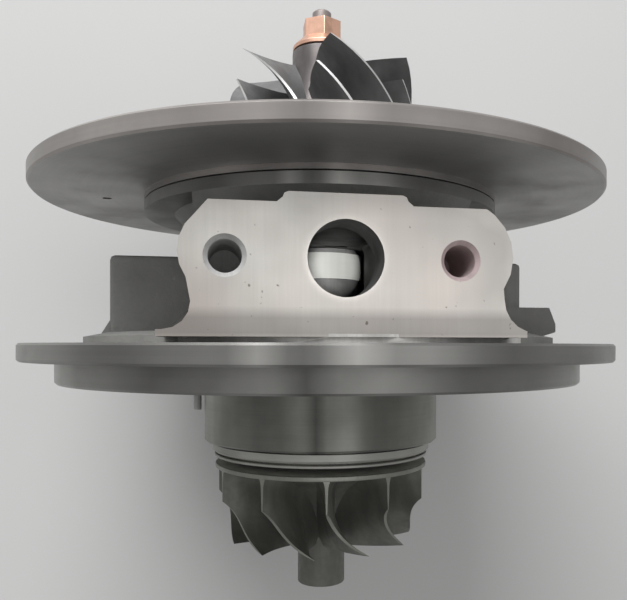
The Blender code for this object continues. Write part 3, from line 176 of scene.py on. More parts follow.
# The room: a pale floor, even light, and two lamps as (name, place, size, power).
FLOOR_TONE = (0.6, 0.6, 0.595)
FLOOR_REACH = 3.0
WORLD_LIGHT = 0.32
WORLD_SEEN = 0.64
LAMPS = (
    ("window", (-0.26, 0.85, 0.55), 0.75, 13.5),
    ("front", (0.08, -0.05, 0.75), 0.6, 0.95),
)

# Compressor wheel.
COMPRESSOR_DISC = 1.3 * MM
COMPRESSOR_BLADE_HEIGHT = 25.7 * MM
COMPRESSOR_HUB_RADIUS = 6.5 * MM
INDUCER_RADIUS = 19.9 * MM
COMPRESSOR_TIP_WIDTH = 3.4 * MM
FULL_BLADES = 6
COMPRESSOR_WRAP = math.radians(46.0)
COMPRESSOR_ENTRY_CURL = 3.6
COMPRESSOR_BACKSWEEP = math.radians(12.0)
COMPRESSOR_LEAN = math.radians(12.0)
COMPRESSOR_PHASE = math.radians(-2.6)
SPLITTER_START = 0.17
COMPRESSOR_ROOT = 1.5 * MM
COMPRESSOR_EDGE = 0.6 * MM
COMPRESSOR_EASE = 0.35 * MM

# Turbine wheel.
TURBINE_DISC = 1.0 * MM
TURBINE_INLET_WIDTH = 6.3 * MM
EXDUCER_RADIUS = 19.9 * MM
EXDUCER_DEPTH = 17.1 * MM
TURBINE_HUB_RADIUS = 5.6 * MM
TURBINE_NOSE_RADIUS = 5.2 * MM
TURBINE_BLADES = 11
TURBINE_WRAP = math.radians(26.2)
TURBINE_HUB_SHARE = 0.35
TURBINE_EARLY_CURL = 0.41
TURBINE_LATE_CURL = 2.8
TURBINE_PHASE = math.radians(-5.1)
TURBINE_ROOT = 2.0 * MM
TURBINE_EDGE = 0.75 * MM
TURBINE_EASE = 0.3 * MM
SEAL_HUB_RADIUS = 8.5 * MM

# The heat shield's rolled lip.
SHIELD_GAP = 2.7 * MM
LIP_INSIDE = 19.0 * MM
LIP_NECK = 22.4 * MM
LIP_RADIUS = 23.5 * MM
LIP_DROP = 0.55 * MM
LIP_THICKNESS = 0.6 * MM

# Blades in general.
BLADE_EDGE_INSET = 0.2 * MM
BLADE_ROOT_DEPTH = 0.4 * MM
ROOT_FILLET = 0.9
ROOT_FILLET_FALL = 4.0
THIN_END = 0.35
THIN_GROWTH = 6.0
BLADE_STEPS = 22
BLADE_ROWS = 8
HUB_POINTS = 24
WHEEL_SIDES = 120
SHAFT_BORE = 2.9 * MM
LONGEST_EASE = 1 / 2.2
EASE_STEPS = 3


def place(x, y, height):
    """A point from the shaft's own frame: x right, y away from the pad, height above the flange."""
    return Vector((x, FLANGE_LEVEL + height, AXIS_HEIGHT - y))


def polar(radius, angle, height):
    """A point at an angle from the drain pad's side towards +X."""
    return place(radius * math.sin(angle), -radius * math.cos(angle), height)


def radius_of(point, line=SHAFT_LINE):
    centre, along = line
    arm = point - centre
    return (arm - along * arm.dot(along)).length


# Shader graphs.

NOISE_ROUGHNESS = 0.55


class Finish:
    """A material's node graph, with short calls for the nodes that the finishes share."""

    def __init__(self, name, roughness, metallic, colour=None):
        self.material = bpy.data.materials.new(name)
        self.material.use_nodes = True
        self.tree = self.material.node_tree
        self.shader = self.tree.nodes["Principled BSDF"]
        self.shader.inputs["Roughness"].default_value = roughness
        self.shader.inputs["Metallic"].default_value = metallic
        if colour:
            self.shader.inputs["Base Color"].default_value = (*colour, 1.0)
            self.material.diffuse_color = (*colour, 1.0)
        self.place = self.node("ShaderNodeTexCoord").outputs["Object"]

    def node(self, kind, settings=None, **inputs):
        made = self.tree.nodes.new(kind)
        for key, value in (settings or {}).items():
            setattr(made, key, value)
        for key, value in inputs.items():
            self.feed(made.inputs[key.replace("_", " ")], value)
        return made

    def feed(self, socket, value):
        if isinstance(value, bpy.types.NodeSocket):
            self.tree.links.new(value, socket)
        else:
            socket.default_value = value

    def maths(self, operation, first, second=0.0):
        made = self.node("ShaderNodeMath", {"operation": operation})
        self.feed(made.inputs[0], first)
        self.feed(made.inputs[1], second)
        return made.outputs[0]

    def distance(self, first, second):
        squares = [self.maths("MULTIPLY", value, value) for value in (first, second)]
        return self.maths("SQRT", self.maths("ADD", *squares))

    def spread(self, value, low, high, to_low=0.0, to_high=1.0):
        """Maps a range of a value onto another range, held at its ends."""
        made = self.node("ShaderNodeMapRange", {"clamp": True}, Value=value)
        for socket, number in zip(list(made.inputs)[1:5], (low, high, to_low, to_high)):
            socket.default_value = number
        return made.outputs[0]

    def noise(self, scale, detail=3.0, stretch=(1.0, 1.0, 1.0), where=None):
        """Noise with a scale in features per metre, stretched along each axis."""
        mapping = self.node("ShaderNodeMapping", Vector=where or self.place, Scale=stretch)
        made = self.node(
            "ShaderNodeTexNoise",
            Vector=mapping.outputs[0],
            Scale=scale,
            Detail=detail,
            Roughness=NOISE_ROUGHNESS,
        )
        return made.outputs[0]

    def mix(self, share, first, second, blend="MIX"):
        made = self.node("ShaderNodeMix", {"data_type": "RGBA", "blend_type": blend})
        self.feed(made.inputs[0], share)
        for socket, value in zip((made.inputs[6], made.inputs[7]), (first, second)):
            self.feed(socket, (*value, 1.0) if isinstance(value, tuple) else value)
        return made.outputs[2]

    def turned_place(self):
        """(angle, radius, height) about the shaft line, for rings and painted reflection streaks on turned
        faces.
        """
        x, height, z = self.node("ShaderNodeSeparateXYZ", Vector=self.place).outputs
        arm = self.maths("SUBTRACT", z, AXIS_HEIGHT)
        angle = self.maths("ARCTAN2", x, arm)
        joined = self.node("ShaderNodeCombineXYZ", X=angle, Y=self.distance(x, arm), Z=height)
        return joined.outputs[0]

    def bands(self, bands):
        """1 plus soft bands of painted light and reflection about the shaft line, each (angle, half width,
        strength), in degrees.
        """
        x, _, z = self.node("ShaderNodeSeparateXYZ", Vector=self.place).outputs
        angle = self.maths("ARCTAN2", x, self.maths("SUBTRACT", z, AXIS_HEIGHT))
        total = 1.0
        for centre, half_width, strength in bands:
            away = self.maths("ABSOLUTE", self.maths("SUBTRACT", angle, math.radians(centre)))
            share = self.spread(away, 0.0, math.radians(half_width), strength, 0.0)
            total = self.maths("ADD", share, total)
        return total

    def scaled(self, tone, factor):
        return self.mix(1.0, tone, factor, "MULTIPLY")

    def colour(self, value):
        self.feed(self.shader.inputs["Base Color"], value)

    def rough(self, value):
        self.feed(self.shader.inputs["Roughness"], value)

    def bump(self, height, strength, distance):
        made = self.node("ShaderNodeBump", Strength=strength, Distance=distance, Height=height)
        self.tree.links.new(made.outputs[0], self.shader.inputs["Normal"])


def cast_iron():
    """Sand-cast grey iron: dark, mottled, with a coarse pitted skin."""
    finish = Finish("cast iron", 0.62, 0.1, (0.17, 0.17, 0.165))
    stains = finish.noise(60.0, 4.0)
    grain = finish.noise(900.0, 4.0)
    tone = finish.mix(finish.spread(stains, 0.35, 0.7), (0.18, 0.18, 0.173), (0.275, 0.273, 0.262))
    finish.colour(finish.mix(finish.spread(grain, 0.35, 0.75, 0.0, 0.5), tone, (0.28, 0.275, 0.26)))
    finish.rough(finish.spread(grain, 0.3, 0.7, 0.52, 0.78))
    lumps = finish.maths("ADD", finish.maths("MULTIPLY", finish.noise(260.0, 3.0), 0.7), grain)
    finish.bump(lumps, 0.5, 0.22 * MM)
    return finish.material


# Painted light and shade on the milled pad: a painted pool of light round the drain hole, painted light
# to the right and painted shade to the left, darker towards the bottom and at the top, and a painted lift
# of the shade on the bottom strip. Each is (from, to, tone at the first, tone at the second).
PAD_PAINTED_LIGHT_ROUND_DRAIN = (7 * MM, 26 * MM, 1.02, 0.74)
PAD_PAINTED_SHADE_LEFT = (-20 * MM, 6 * MM, 0.92, 1.0)
PAD_PAINTED_LIGHT_RIGHT = (8 * MM, 20 * MM, 1.0, 1.42)
PAD_LOW = (3.8 * MM, 5.6 * MM, 0.62, 1.0)
PAD_TOP = (19.5 * MM, 22.5 * MM, 1.0, 0.84)
PAD_BOTTOM_PAINTED_LIGHT = (0.9 * MM, 1.5 * MM, 1.3, 1.0)


def milled_pad():
    """The bright milled drain pad: soft blotches, fine cutter lines, a few dark specks, and painted light
    and shade across its face.
    """
    finish = Finish("milled pad", 0.34, 0.75, (0.5, 0.48, 0.45))
    blotch = finish.noise(42.0, 3.0)
    warm = finish.noise(28.0, 2.0)
    lines = finish.noise(2400.0, 2.0, (1.0, 0.035, 1.0))
    tone = finish.mix(finish.spread(blotch, 0.36, 0.64), (0.36, 0.345, 0.325), (0.62, 0.605, 0.57))
    tone = finish.mix(finish.spread(warm, 0.42, 0.62, 0.0, 0.7), tone, (0.53, 0.47, 0.43))
    tone = finish.mix(finish.spread(lines, 0.3, 0.7, 0.0, 0.14), tone, (0.36, 0.35, 0.34))
    specks = finish.noise(900.0, 1.0)
    tone = finish.mix(finish.spread(specks, 0.74, 0.8, 0.0, 0.8), tone, (0.16, 0.13, 0.11))
    x, level, _ = finish.node("ShaderNodeSeparateXYZ", Vector=finish.place).outputs
    across = finish.maths("SUBTRACT", x, PAD_OFFSET)
    rise = finish.maths("SUBTRACT", level, PAD_HOLE_LEVEL)
    height = finish.maths("SUBTRACT", level, FLANGE_LEVEL)
    away = finish.distance(across, rise)
    # Painted light and shade across the pad, from the tables above.
    for value, limits in (
        (away, PAD_PAINTED_LIGHT_ROUND_DRAIN),
        (across, PAD_PAINTED_SHADE_LEFT),
        (across, PAD_PAINTED_LIGHT_RIGHT),
        (height, PAD_LOW),
        (height, PAD_TOP),
        (height, PAD_BOTTOM_PAINTED_LIGHT),
    ):
        tone = finish.scaled(tone, finish.spread(value, *limits))
    finish.colour(tone)
    finish.rough(finish.spread(blotch, 0.3, 0.7, 0.28, 0.42))
    finish.bump(lines, 0.12, 0.05 * MM)
    return finish.material


def turned_metal(name, dark, light, roughness, streaks=4.0, rings=1800.0, metallic=0.85, bands=()):
    """Turned metal: painted reflection streaks that change slowly round the axis, painted light bands where
    given, fine rings and light staining.
    """
    finish = Finish(name, roughness, metallic, light)
    where = finish.turned_place()
    # Painted reflection: slow lighter and darker streaks round the axis.
    painted_reflection_sweep = finish.noise(streaks, 3.0, (1.0, 6.0, 6.0), where)
    ring = finish.noise(rings, 2.0, (0.0006, 1.0, 1.0), where)
    stain = finish.noise(70.0, 4.0)
    tone = finish.mix(finish.spread(painted_reflection_sweep, 0.34, 0.66), dark, light)
    tone = finish.mix(finish.spread(ring, 0.3, 0.7, 0.0, 0.3), tone, dark)
    tone = finish.mix(finish.spread(stain, 0.5, 0.8, 0.0, 0.35), tone, tuple(0.6 * c for c in dark))
    finish.colour(finish.scaled(tone, finish.bands(bands)) if bands else tone)
    finish.rough(finish.spread(stain, 0.3, 0.7, roughness - 0.06, roughness + 0.1))
    finish.bump(ring, 0.25, 0.04 * MM)
    return finish.material


def blade_metal(name, dark, light, roughness, metallic, grain_scale=500.0, bump=0.12):
    """Blade faces: dark, with long soft tool or casting marks and a fine grain."""
    finish = Finish(name, roughness, metallic, dark)
    marks = finish.noise(240.0, 3.0, (1.0, 0.25, 1.0))
    grain = finish.noise(grain_scale, 3.0)
    tone = finish.mix(finish.spread(marks, 0.35, 0.7), dark, light)
    finish.colour(finish.mix(finish.spread(grain, 0.4, 0.75, 0.0, 0.4), tone, dark))
    finish.rough(finish.spread(grain, 0.3, 0.7, roughness - 0.07, roughness + 0.08))
    finish.bump(grain, bump, 0.05 * MM)
    return finish.material


def fine_metal(name, colour, roughness, metallic=0.9, shade=0.6, scale=180.0):
    """A small part's finish: one tone with light stains and tiny scratches."""
    finish = Finish(name, roughness, metallic, colour)
    stain = finish.noise(scale, 4.0)
    scratch = finish.noise(1500.0, 2.0, (1.0, 0.08, 1.0))
    dark = tuple(shade * c for c in colour)
    tone = finish.mix(finish.spread(stain, 0.4, 0.7), colour, dark)
    finish.colour(finish.mix(finish.spread(scratch, 0.45, 0.75, 0.0, 0.4), tone, dark))
    finish.rough(finish.spread(stain, 0.3, 0.7, roughness - 0.05, roughness + 0.12))
    finish.bump(scratch, 0.15, 0.03 * MM)
    return finish.material


def seal_rubber():
    finish = Finish("seal rubber", 0.6, 0.0, (0.018, 0.018, 0.018))
    dust = finish.noise(300.0, 4.0)
    share = finish.spread(dust, 0.45, 0.8, 0.0, 0.5)
    finish.colour(finish.mix(share, (0.015, 0.015, 0.015), (0.06, 0.058, 0.055)))
    finish.rough(finish.spread(dust, 0.3, 0.7, 0.5, 0.72))
    return finish.material


# Painted reflections: lighter and darker streaks round the axis on the turned faces, standing in for
# the room reflected in turned metal; the last table is painted light that lifts the shade on the pad side
# of the back plate's flat faces. Each is (angle from the drain pad's side, half width, strength), in
# degrees.
RIM_PAINTED_REFLECTIONS = (
    (-64, 24, 0.35),
    (-36, 14, -0.33),
    (-16, 4, 0.7),
    (-10, 5, -0.35),
    (-3, 5, 0.85),
    (7, 8, 0.25),
    (20, 10, -0.25),
    (60, 28, 0.5),
)
STEP_PAINTED_REFLECTIONS = (
    (-70, 32, 1.0),
    (-36, 14, -0.25),
    (-17, 7, 0.25),
    (-10, 5, -0.5),
    (2, 9, 0.3),
    (16, 8, -0.15),
    (62, 34, 1.1),
)
PLATE_PAINTED_REFLECTIONS = ((-44, 18, 0.35), (-10, 6, -0.28), (-4, 4, 0.2), (2, 4, -0.15), (18, 12, 0.25))
FACE_PAINTED_LIGHT = ((0, 50, 0.5),)

FINISHES = {
    "cast": cast_iron(),
    "pad": milled_pad(),
    # Turned faces: each carries painted reflection streaks, and where given painted reflection bands.
    "flange": turned_metal(
        "turned flange", (0.155, 0.153, 0.147), (0.225, 0.223, 0.213), 0.4, 1.6, bands=RIM_PAINTED_REFLECTIONS
    ),
    "step": turned_metal(
        "turned step", (0.15, 0.149, 0.142), (0.21, 0.208, 0.199), 0.42, 1.7, bands=STEP_PAINTED_REFLECTIONS
    ),
    # The nose: a darker copy of the step's finish, with the same painted reflections.
    "nose": turned_metal(
        "darker turned nose", (0.1, 0.102, 0.092), (0.155, 0.157, 0.143), 0.42, 1.8, bands=STEP_PAINTED_REFLECTIONS
    ),
    "bore": turned_metal("bright bore", (0.5, 0.5, 0.47), (0.62, 0.62, 0.585), 0.6, 2.0, metallic=0.0),
    "hole": fine_metal("drilled hole", (0.5, 0.5, 0.49), 0.55, 0.0),
    "rust": fine_metal("rusty thread", (0.53, 0.425, 0.42), 0.6, 0.0),
    # The plateau's rim: a pale tone that is painted light, lifting the shade under the pad's bottom edge.
    "rim": fine_metal("plateau rim, painted light", (0.62, 0.61, 0.59), 0.6, 0.0),
    "cavity": fine_metal("oil cavity", (0.18, 0.18, 0.175), 0.6, 0.15),
    "plate": turned_metal(
        "turned back plate", (0.21, 0.197, 0.188), (0.33, 0.308, 0.295), 0.38, 1.4, 1200.0, bands=PLATE_PAINTED_REFLECTIONS
    ),
    # The back plate's flat faces: a lighter copy of the plate's finish, painted light that lifts their
    # shade, lightest on the pad side.
    "plate face": turned_metal(
        "back plate face, painted light", (0.27, 0.265, 0.26), (0.4, 0.395, 0.385), 0.45, 1.4, 1200.0, bands=FACE_PAINTED_LIGHT
    ),
    # The heat shield: its light tones are painted light that lifts the shade in the gap before the turbine
    # wheel, with painted reflection streaks.
    "shield": turned_metal("heat shield", (0.23, 0.23, 0.213), (0.37, 0.37, 0.345), 0.45, 1.5, metallic=0.5),
    "steel": fine_metal("ground steel", (0.45, 0.44, 0.42), 0.3),
    "copper": fine_metal("coppered steel", (0.76, 0.465, 0.345), 0.34, 0.9, 0.66, 300.0),
    "tip": fine_metal("shaft tip", (0.39, 0.345, 0.33), 0.4),
    "bronze": fine_metal("bearing bronze", (0.55, 0.36, 0.17), 0.34),
    "rubber": seal_rubber(),
    "compressor": blade_metal("milled blade faces", (0.115, 0.115, 0.115), (0.175, 0.175, 0.175), 0.5, 0.2),
    "compressor hub": blade_metal("milled hub", (0.11, 0.1, 0.1), (0.2, 0.185, 0.18), 0.4, 0.8),
    "compressor edge": fine_metal("milled blade edges", (0.62, 0.62, 0.61), 0.34, 0.85, 0.75),
    "turbine": blade_metal(
        "cast turbine alloy", (0.09, 0.09, 0.079), (0.145, 0.145, 0.128), 0.55, 0.25, 800.0, 0.25
    ),
    # The turbine wheel's back: a lighter copy of the turbine alloy, painted light that lifts the shade in
    # the gap before the heat shield.
    "painted light turbine back": blade_metal(
        "turbine wheel back, painted light", (0.32, 0.32, 0.29), (0.45, 0.45, 0.41), 0.6, 0.1, 800.0, 0.2
    ),
    "turbine edge": fine_metal("ground turbine edges", (0.22, 0.22, 0.195), 0.4, 0.6, 0.75),
}


# Finer copies of CAD forms.

def clean_copy(node):
    """The node's surface as a welded mesh, with its flat faces whole again."""
    source = frame["nodes"][node].data
    bm = bmesh.new()
    corners = [bm.verts.new(vertex.co) for vertex in source.vertices]
    for polygon in source.polygons:
        try:
            bm.faces.new([corners[i] for i in polygon.vertices])
        except ValueError:
            continue
    bmesh.ops.remove_doubles(bm, verts=bm.verts, dist=WELD)
    bmesh.ops.dissolve_limit(bm, angle_limit=FLAT_ANGLE, verts=bm.verts, edges=bm.edges)
    return bm


def round_off(bm, line=SHAFT_LINE, low=SMALLEST_ARC, high=LARGEST_ARC, cuts=ARC_CUTS):
    """Splits the facet edges that run round a line, and sets the new corners on the true circle."""
    layer = bm.verts.layers.float.get("ring") or bm.verts.layers.float.new("ring")
    centre, along = line
    for vertex in bm.verts:
        vertex[layer] = radius_of(vertex.co, line)
    chords = []
    for edge in bm.edges:
        first, second = edge.verts
        radius = first[layer]
        level = abs((first.co - second.co).dot(along)) < SAME
        same = abs(radius - second[layer]) < SAME
        if level and same and low < radius < high and edge.calc_length() < LONGEST_CHORD * radius:
            chords.append(edge)
    made = bmesh.ops.subdivide_edges(bm, edges=chords, cuts=cuts, use_grid_fill=False)
    for item in made["geom_inner"]:
        if isinstance(item, bmesh.types.BMVert):
            foot = centre + along * (item.co - centre).dot(along)
            arm = item.co - foot
            if arm.length > low:
                item.co = foot + arm * (item[layer] / arm.length)
            item.co.z = max(item.co.z, 0.0)


def new_piece(name, bm, finishes, body):
    """An object from a finished mesh, shaded smooth with its corners kept, riding a body."""
    mesh = bpy.data.meshes.new(name)
    bm.to_mesh(mesh)
    bm.free()
    obj = bpy.data.objects.new(name, mesh)
    bpy.context.scene.collection.objects.link(obj)
    for finish in finishes:
        mesh.materials.append(FINISHES[finish])
    mesh.shade_smooth()
    mesh.set_sharp_from_angle(angle=SHARP_ANGLE)
    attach(obj, body)
    return obj


def ease_edges(obj, width=EDGE_EASE):
    """A fine rounding on every corner edge, and normals weighted to the big faces."""
    bevel = obj.modifiers.new("Eased edges", "BEVEL")
    bevel.width = width
    bevel.segments = 2
    bevel.limit_method = "ANGLE"
    bevel.angle_limit = SHARP_ANGLE
    bevel.harden_normals = False
    bevel.use_clamp_overlap = True
    weighted = obj.modifiers.new("Weighted normals", "WEIGHTED_NORMAL")
    weighted.keep_sharp = True
    return obj


def refined(node, finish, body, ease=EDGE_EASE, lines=(SHAFT_LINE,)):
    """A finer copy of a CAD node that stands for it."""
    bm = clean_copy(node)
    for line in lines:
        round_off(bm, line)
    obj = new_piece(node + "_fine", bm, [finish], body)
    if ease:
        ease_edges(obj, ease)
    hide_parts(node)
    return obj


# Housing.

HOUSING_FINISHES = ["cast", "pad", "flange", "step", "nose", "bore", "hole", "rust", "rim", "cavity"]


def housing_finish(centre, normal):
    """Which finish a face of the housing has, from its place and direction."""
    height = centre.y - FLANGE_LEVEL
    radius = radius_of(centre)
    across = abs(centre.x - PAD_OFFSET)
    level = abs(centre.y - PAD_HOLE_LEVEL)
    if normal.z > PAD_PLANE and abs(centre.z - PAD_FACE) < PAD_SLACK:
        return "pad"
    if centre.z > AXIS_HEIGHT + CAVITY_RADIUS:
        bolt = math.hypot(across - BOLT_SPACING / 2, level)
        if bolt < BOLT_REACH:
            return "rust" if centre.x > PAD_OFFSET else "hole"
        if math.hypot(across, level) < DRAIN_REACH:
            return "cavity"
    if height < -STEP_DEPTH - SAME:
        return "nose"
    if height < SAME and (radius > CAVITY_RADIUS or abs(normal.y) > FLAT):
        return "step" if height < -FLANGE_THICKNESS - SAME else "flange"
    if radius < TUBE_LAND_RADIUS + SAME and abs(normal.y) < SIDE_ON and height > 0.0:
        return "bore" if radius > TUBE_LAND_START else "cavity"
    if height > TOP_FLANGE_LEVEL - SAME:
        return "flange"
    # The plateau's rim under the pad gets the pale rim tone: painted light that lifts the shade under the
    # pad's bottom edge.
    if height < PLATEAU_RIM and centre.z > AXIS_HEIGHT + FOOT_REAR and abs(normal.y) < SIDE_ON:
        return "rim"
    if radius > PLATEAU_RADIUS and height < PLATEAU_HEIGHT:
        return "flange"
    if radius < CAVITY_RADIUS + SAME and height > 0.0:
        return "cavity"
    return "cast"


def temporary(name, bm):
    mesh = bpy.data.meshes.new(name)
    bm.to_mesh(mesh)
    bm.free()
    obj = bpy.data.objects.new(name, mesh)
    bpy.context.scene.collection.objects.link(obj)
    return obj


def subtract(body, cutter):
    """Takes one closed mesh from another, and gives the result as a mesh."""
    first = temporary("cut body", body)
    second = temporary("cutter", cutter)
    cut = first.modifiers.new("cut", "BOOLEAN")
    cut.operation = "DIFFERENCE"
    cut.solver = "EXACT"
    cut.object = second
    made = bmesh.new()
    made.from_object(first, bpy.context.evaluated_depsgraph_get())
    for obj in (first, second):
        bpy.data.objects.remove(obj)
    return made


def box_mesh(low, high):
    """A closed box between two corners (x, height, rise over the shaft line), in millimetres."""
    bm = bmesh.new()
    bmesh.ops.create_cube(bm, size=1.0)
    for vertex in bm.verts:
        x, height, rise = (a + (b - a) * (side + 0.5) for a, b, side in zip(low, high, vertex.co))
        vertex.co = place(x * MM, -rise * MM, height * MM)
    bmesh.ops.recalc_face_normals(bm, faces=bm.faces)
    return bm


def drum_mesh(start, end, radius):
    bm = bmesh.new()
    along = end - start
    turn = along.to_track_quat("Z", "Y").to_matrix().to_4x4()
    matrix = Matrix.Translation((start + end) / 2) @ turn
    bmesh.ops.create_cone(
        bm,
        cap_ends=True,
        segments=DRUM_SIDES,
        radius1=radius,
        radius2=radius,
        depth=along.length,
        matrix=matrix,
    )
    return bm


def slimmed(bm):
    """Takes the heavy flare off the waist, beside the pad, the blocks and the oil inlet."""
    profile = [(radius * MM, height * MM) for radius, height in WAIST_CUT]
    cutter = lathe(profile + profile[:1], CAD_SIDES, math.pi / CAD_SIDES)
    cutter = subtract(cutter, box_mesh(*PAD_KEEP))
    cutter = subtract(cutter, box_mesh(*BLOCK_KEEP))
    ends = [place(0.0, depth, INLET_LEVEL) for depth in (CAVITY_RADIUS, INLET_REACH)]
    cutter = subtract(cutter, drum_mesh(*ends, INLET_KEEP))
    return subtract(bm, cutter)


def is_near(value, wanted):
    return abs(value - wanted * MM) < CORNER_SLACK


def reshape(bm):
    """Trims the pad's right foot, seats the lug, and sets the plateau behind the pad's face."""
    for vertex in bm.verts:
        x = vertex.co.x
        height = vertex.co.y - FLANGE_LEVEL
        if vertex.co.z > PAD_FACE - FOOT_DEPTH and FOOT_BOTTOM < height < FOOT_TOP:
            vertex.co.x = min(x, PAD_OFFSET + FOOT_END)
        on_rim = -SAME < height < PLATEAU_RIM and abs(radius_of(vertex.co) - PLATEAU_RADIUS) < SAME
        if on_rim and vertex.co.z > PAD_FACE - PLATEAU_SETBACK:
            vertex.co.z = PAD_FACE - PLATEAU_SETBACK
        for old, new in ((LUG_INNER, LUG_INNER_TO), (LUG_OUTER, LUG_OUTER_TO)):
            if is_near(x, old[0]) and is_near(height, old[1]):
                vertex.co.x = new[0] * MM
                vertex.co.y = FLANGE_LEVEL + new[1] * MM


def add_shell(bm, shell):
    mesh = bpy.data.meshes.new("shell")
    shell.to_mesh(mesh)
    shell.free()
    bm.from_mesh(mesh)
    bpy.data.meshes.remove(mesh)


def bearing_housing():
    bm = clean_copy("bearing_housing")
    reshape(bm)
    bm = slimmed(bm)
    for side in (-1, 1):
        turn = math.pi - side * SCREW_TURN
        ends = [polar(SCREW_CIRCLE, turn, level) for level in SCREW_BOSS_LEVELS]
        add_shell(bm, drum_mesh(*ends, SCREW_BOSS_RADIUS))
    (left, bottom), (right, top) = PAD_EDGE
    face = (PAD_FACE - AXIS_HEIGHT) / MM - PAD_EDGE_INSET
    add_shell(bm, box_mesh((left, bottom, face - PAD_EDGE_THICKNESS), (right, top, face)))
    round_off(bm)
    for x in (PAD_OFFSET, PAD_OFFSET - BOLT_SPACING / 2, PAD_OFFSET + BOLT_SPACING / 2):
        hole = (Vector((x, PAD_HOLE_LEVEL, PAD_FACE)), Vector((0.0, 0.0, 1.0)))
        round_off(bm, hole, high=DRAIN_REACH, cuts=HOLE_CUTS)
    for x, height, radius in PAD_ARCS:
        corner = (Vector((PAD_OFFSET + x, FLANGE_LEVEL + height, PAD_FACE)), Vector((0.0, 0.0, 1.0)))
        round_off(bm, corner, radius - 2 * SAME, radius + 2 * SAME)
    bm.normal_update()
    for face in bm.faces:
        finish = housing_finish(face.calc_center_median(), face.normal)
        face.material_index = HOUSING_FINISHES.index(finish)
    obj = new_piece("bearing_housing_fine", bm, HOUSING_FINISHES, "housing")
    ease_edges(obj)
    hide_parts("bearing_housing")
    return obj


# Wheels.

class Blading:
    """One wheel's blade surface: a hub curve, an edge curve and the angle along the blade."""

    def __init__(self, hub, tip, angle, root, edge):
        self.hub = hub
        self.tip = tip
        self.angle = angle
        self.root = root
        self.edge = edge

    def point(self, t, share, side, phase):
        hub_radius, hub_height = self.hub(t)
        tip_radius, tip_height = self.tip(t)
        span = math.hypot(tip_radius - hub_radius, tip_height - hub_height)
        share = share - BLADE_ROOT_DEPTH / span * (1.0 - share)
        radius = hub_radius + share * (tip_radius - hub_radius)
        height = hub_height + share * (tip_height - hub_height)
        fillet = self.root * ROOT_FILLET * max(0.0, 1.0 - share * ROOT_FILLET_FALL) ** 2
        thickness = self.root + share * (self.edge - self.root) + fillet
        thin = min(1.0, THIN_END + THIN_GROWTH * t) * min(1.0, THIN_END + THIN_GROWTH * (1.0 - t))
        half = side * thickness * thin / 2 / radius
        return polar(radius, phase + self.angle(t, share) + half, height)


def wheel_levels(node):
    low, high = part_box(node)
    return low.y - FLANGE_LEVEL, high.y - FLANGE_LEVEL, (high.x - low.x) / 2


COMPRESSOR_BACK, COMPRESSOR_NOSE, COMPRESSOR_RADIUS = wheel_levels("compressor_wheel")
TURBINE_END, TURBINE_TOP, TURBINE_RADIUS = wheel_levels("turbine_wheel")
TURBINE_BACK = TURBINE_TOP - TURBINE_DISC


def compressor_hub(t):
    disc_top = COMPRESSOR_BACK + COMPRESSOR_DISC
    inlet = COMPRESSOR_BACK + COMPRESSOR_BLADE_HEIGHT
    turn = t * math.pi / 2
    radius = COMPRESSOR_HUB_RADIUS + (COMPRESSOR_RADIUS - COMPRESSOR_HUB_RADIUS) * (1 - math.cos(turn))
    return radius, inlet - (inlet - disc_top) * math.sin(turn)


def compressor_tip(t):
    inlet = COMPRESSOR_BACK + COMPRESSOR_BLADE_HEIGHT
    outlet = COMPRESSOR_BACK + COMPRESSOR_DISC + COMPRESSOR_TIP_WIDTH
    turn = t * math.pi / 2
    reach = COMPRESSOR_RADIUS - BLADE_EDGE_INSET - INDUCER_RADIUS
    return INDUCER_RADIUS + reach * (1 - math.cos(turn)), inlet - (inlet - outlet) * math.sin(turn)


def compressor_angle(t, share):
    wrap = COMPRESSOR_WRAP * (1 - (1 - t) ** COMPRESSOR_ENTRY_CURL) + COMPRESSOR_BACKSWEEP * t**3
    return wrap - COMPRESSOR_LEAN * (1 - t) * (1 - share)


def turbine_hub(t):
    turn = t * math.pi / 2
    reach = TURBINE_RADIUS - BLADE_EDGE_INSET - TURBINE_HUB_RADIUS
    face = TURBINE_BACK - TURBINE_DISC
    return TURBINE_HUB_RADIUS + reach * (1 - math.sin(turn)), face - EXDUCER_DEPTH * (1 - math.cos(turn))


def turbine_tip(t):
    inlet = TURBINE_BACK - TURBINE_DISC - TURBINE_INLET_WIDTH
    outlet = TURBINE_BACK - EXDUCER_DEPTH
    radius = EXDUCER_RADIUS + (TURBINE_RADIUS - BLADE_EDGE_INSET - EXDUCER_RADIUS) * (1 - t) ** 4
    return radius, inlet + (outlet - inlet) * t


def turbine_angle(t, share):
    curl = TURBINE_EARLY_CURL * t + (1 - TURBINE_EARLY_CURL) * t**TURBINE_LATE_CURL
    return TURBINE_WRAP * curl * (TURBINE_HUB_SHARE + (1 - TURBINE_HUB_SHARE) * share)


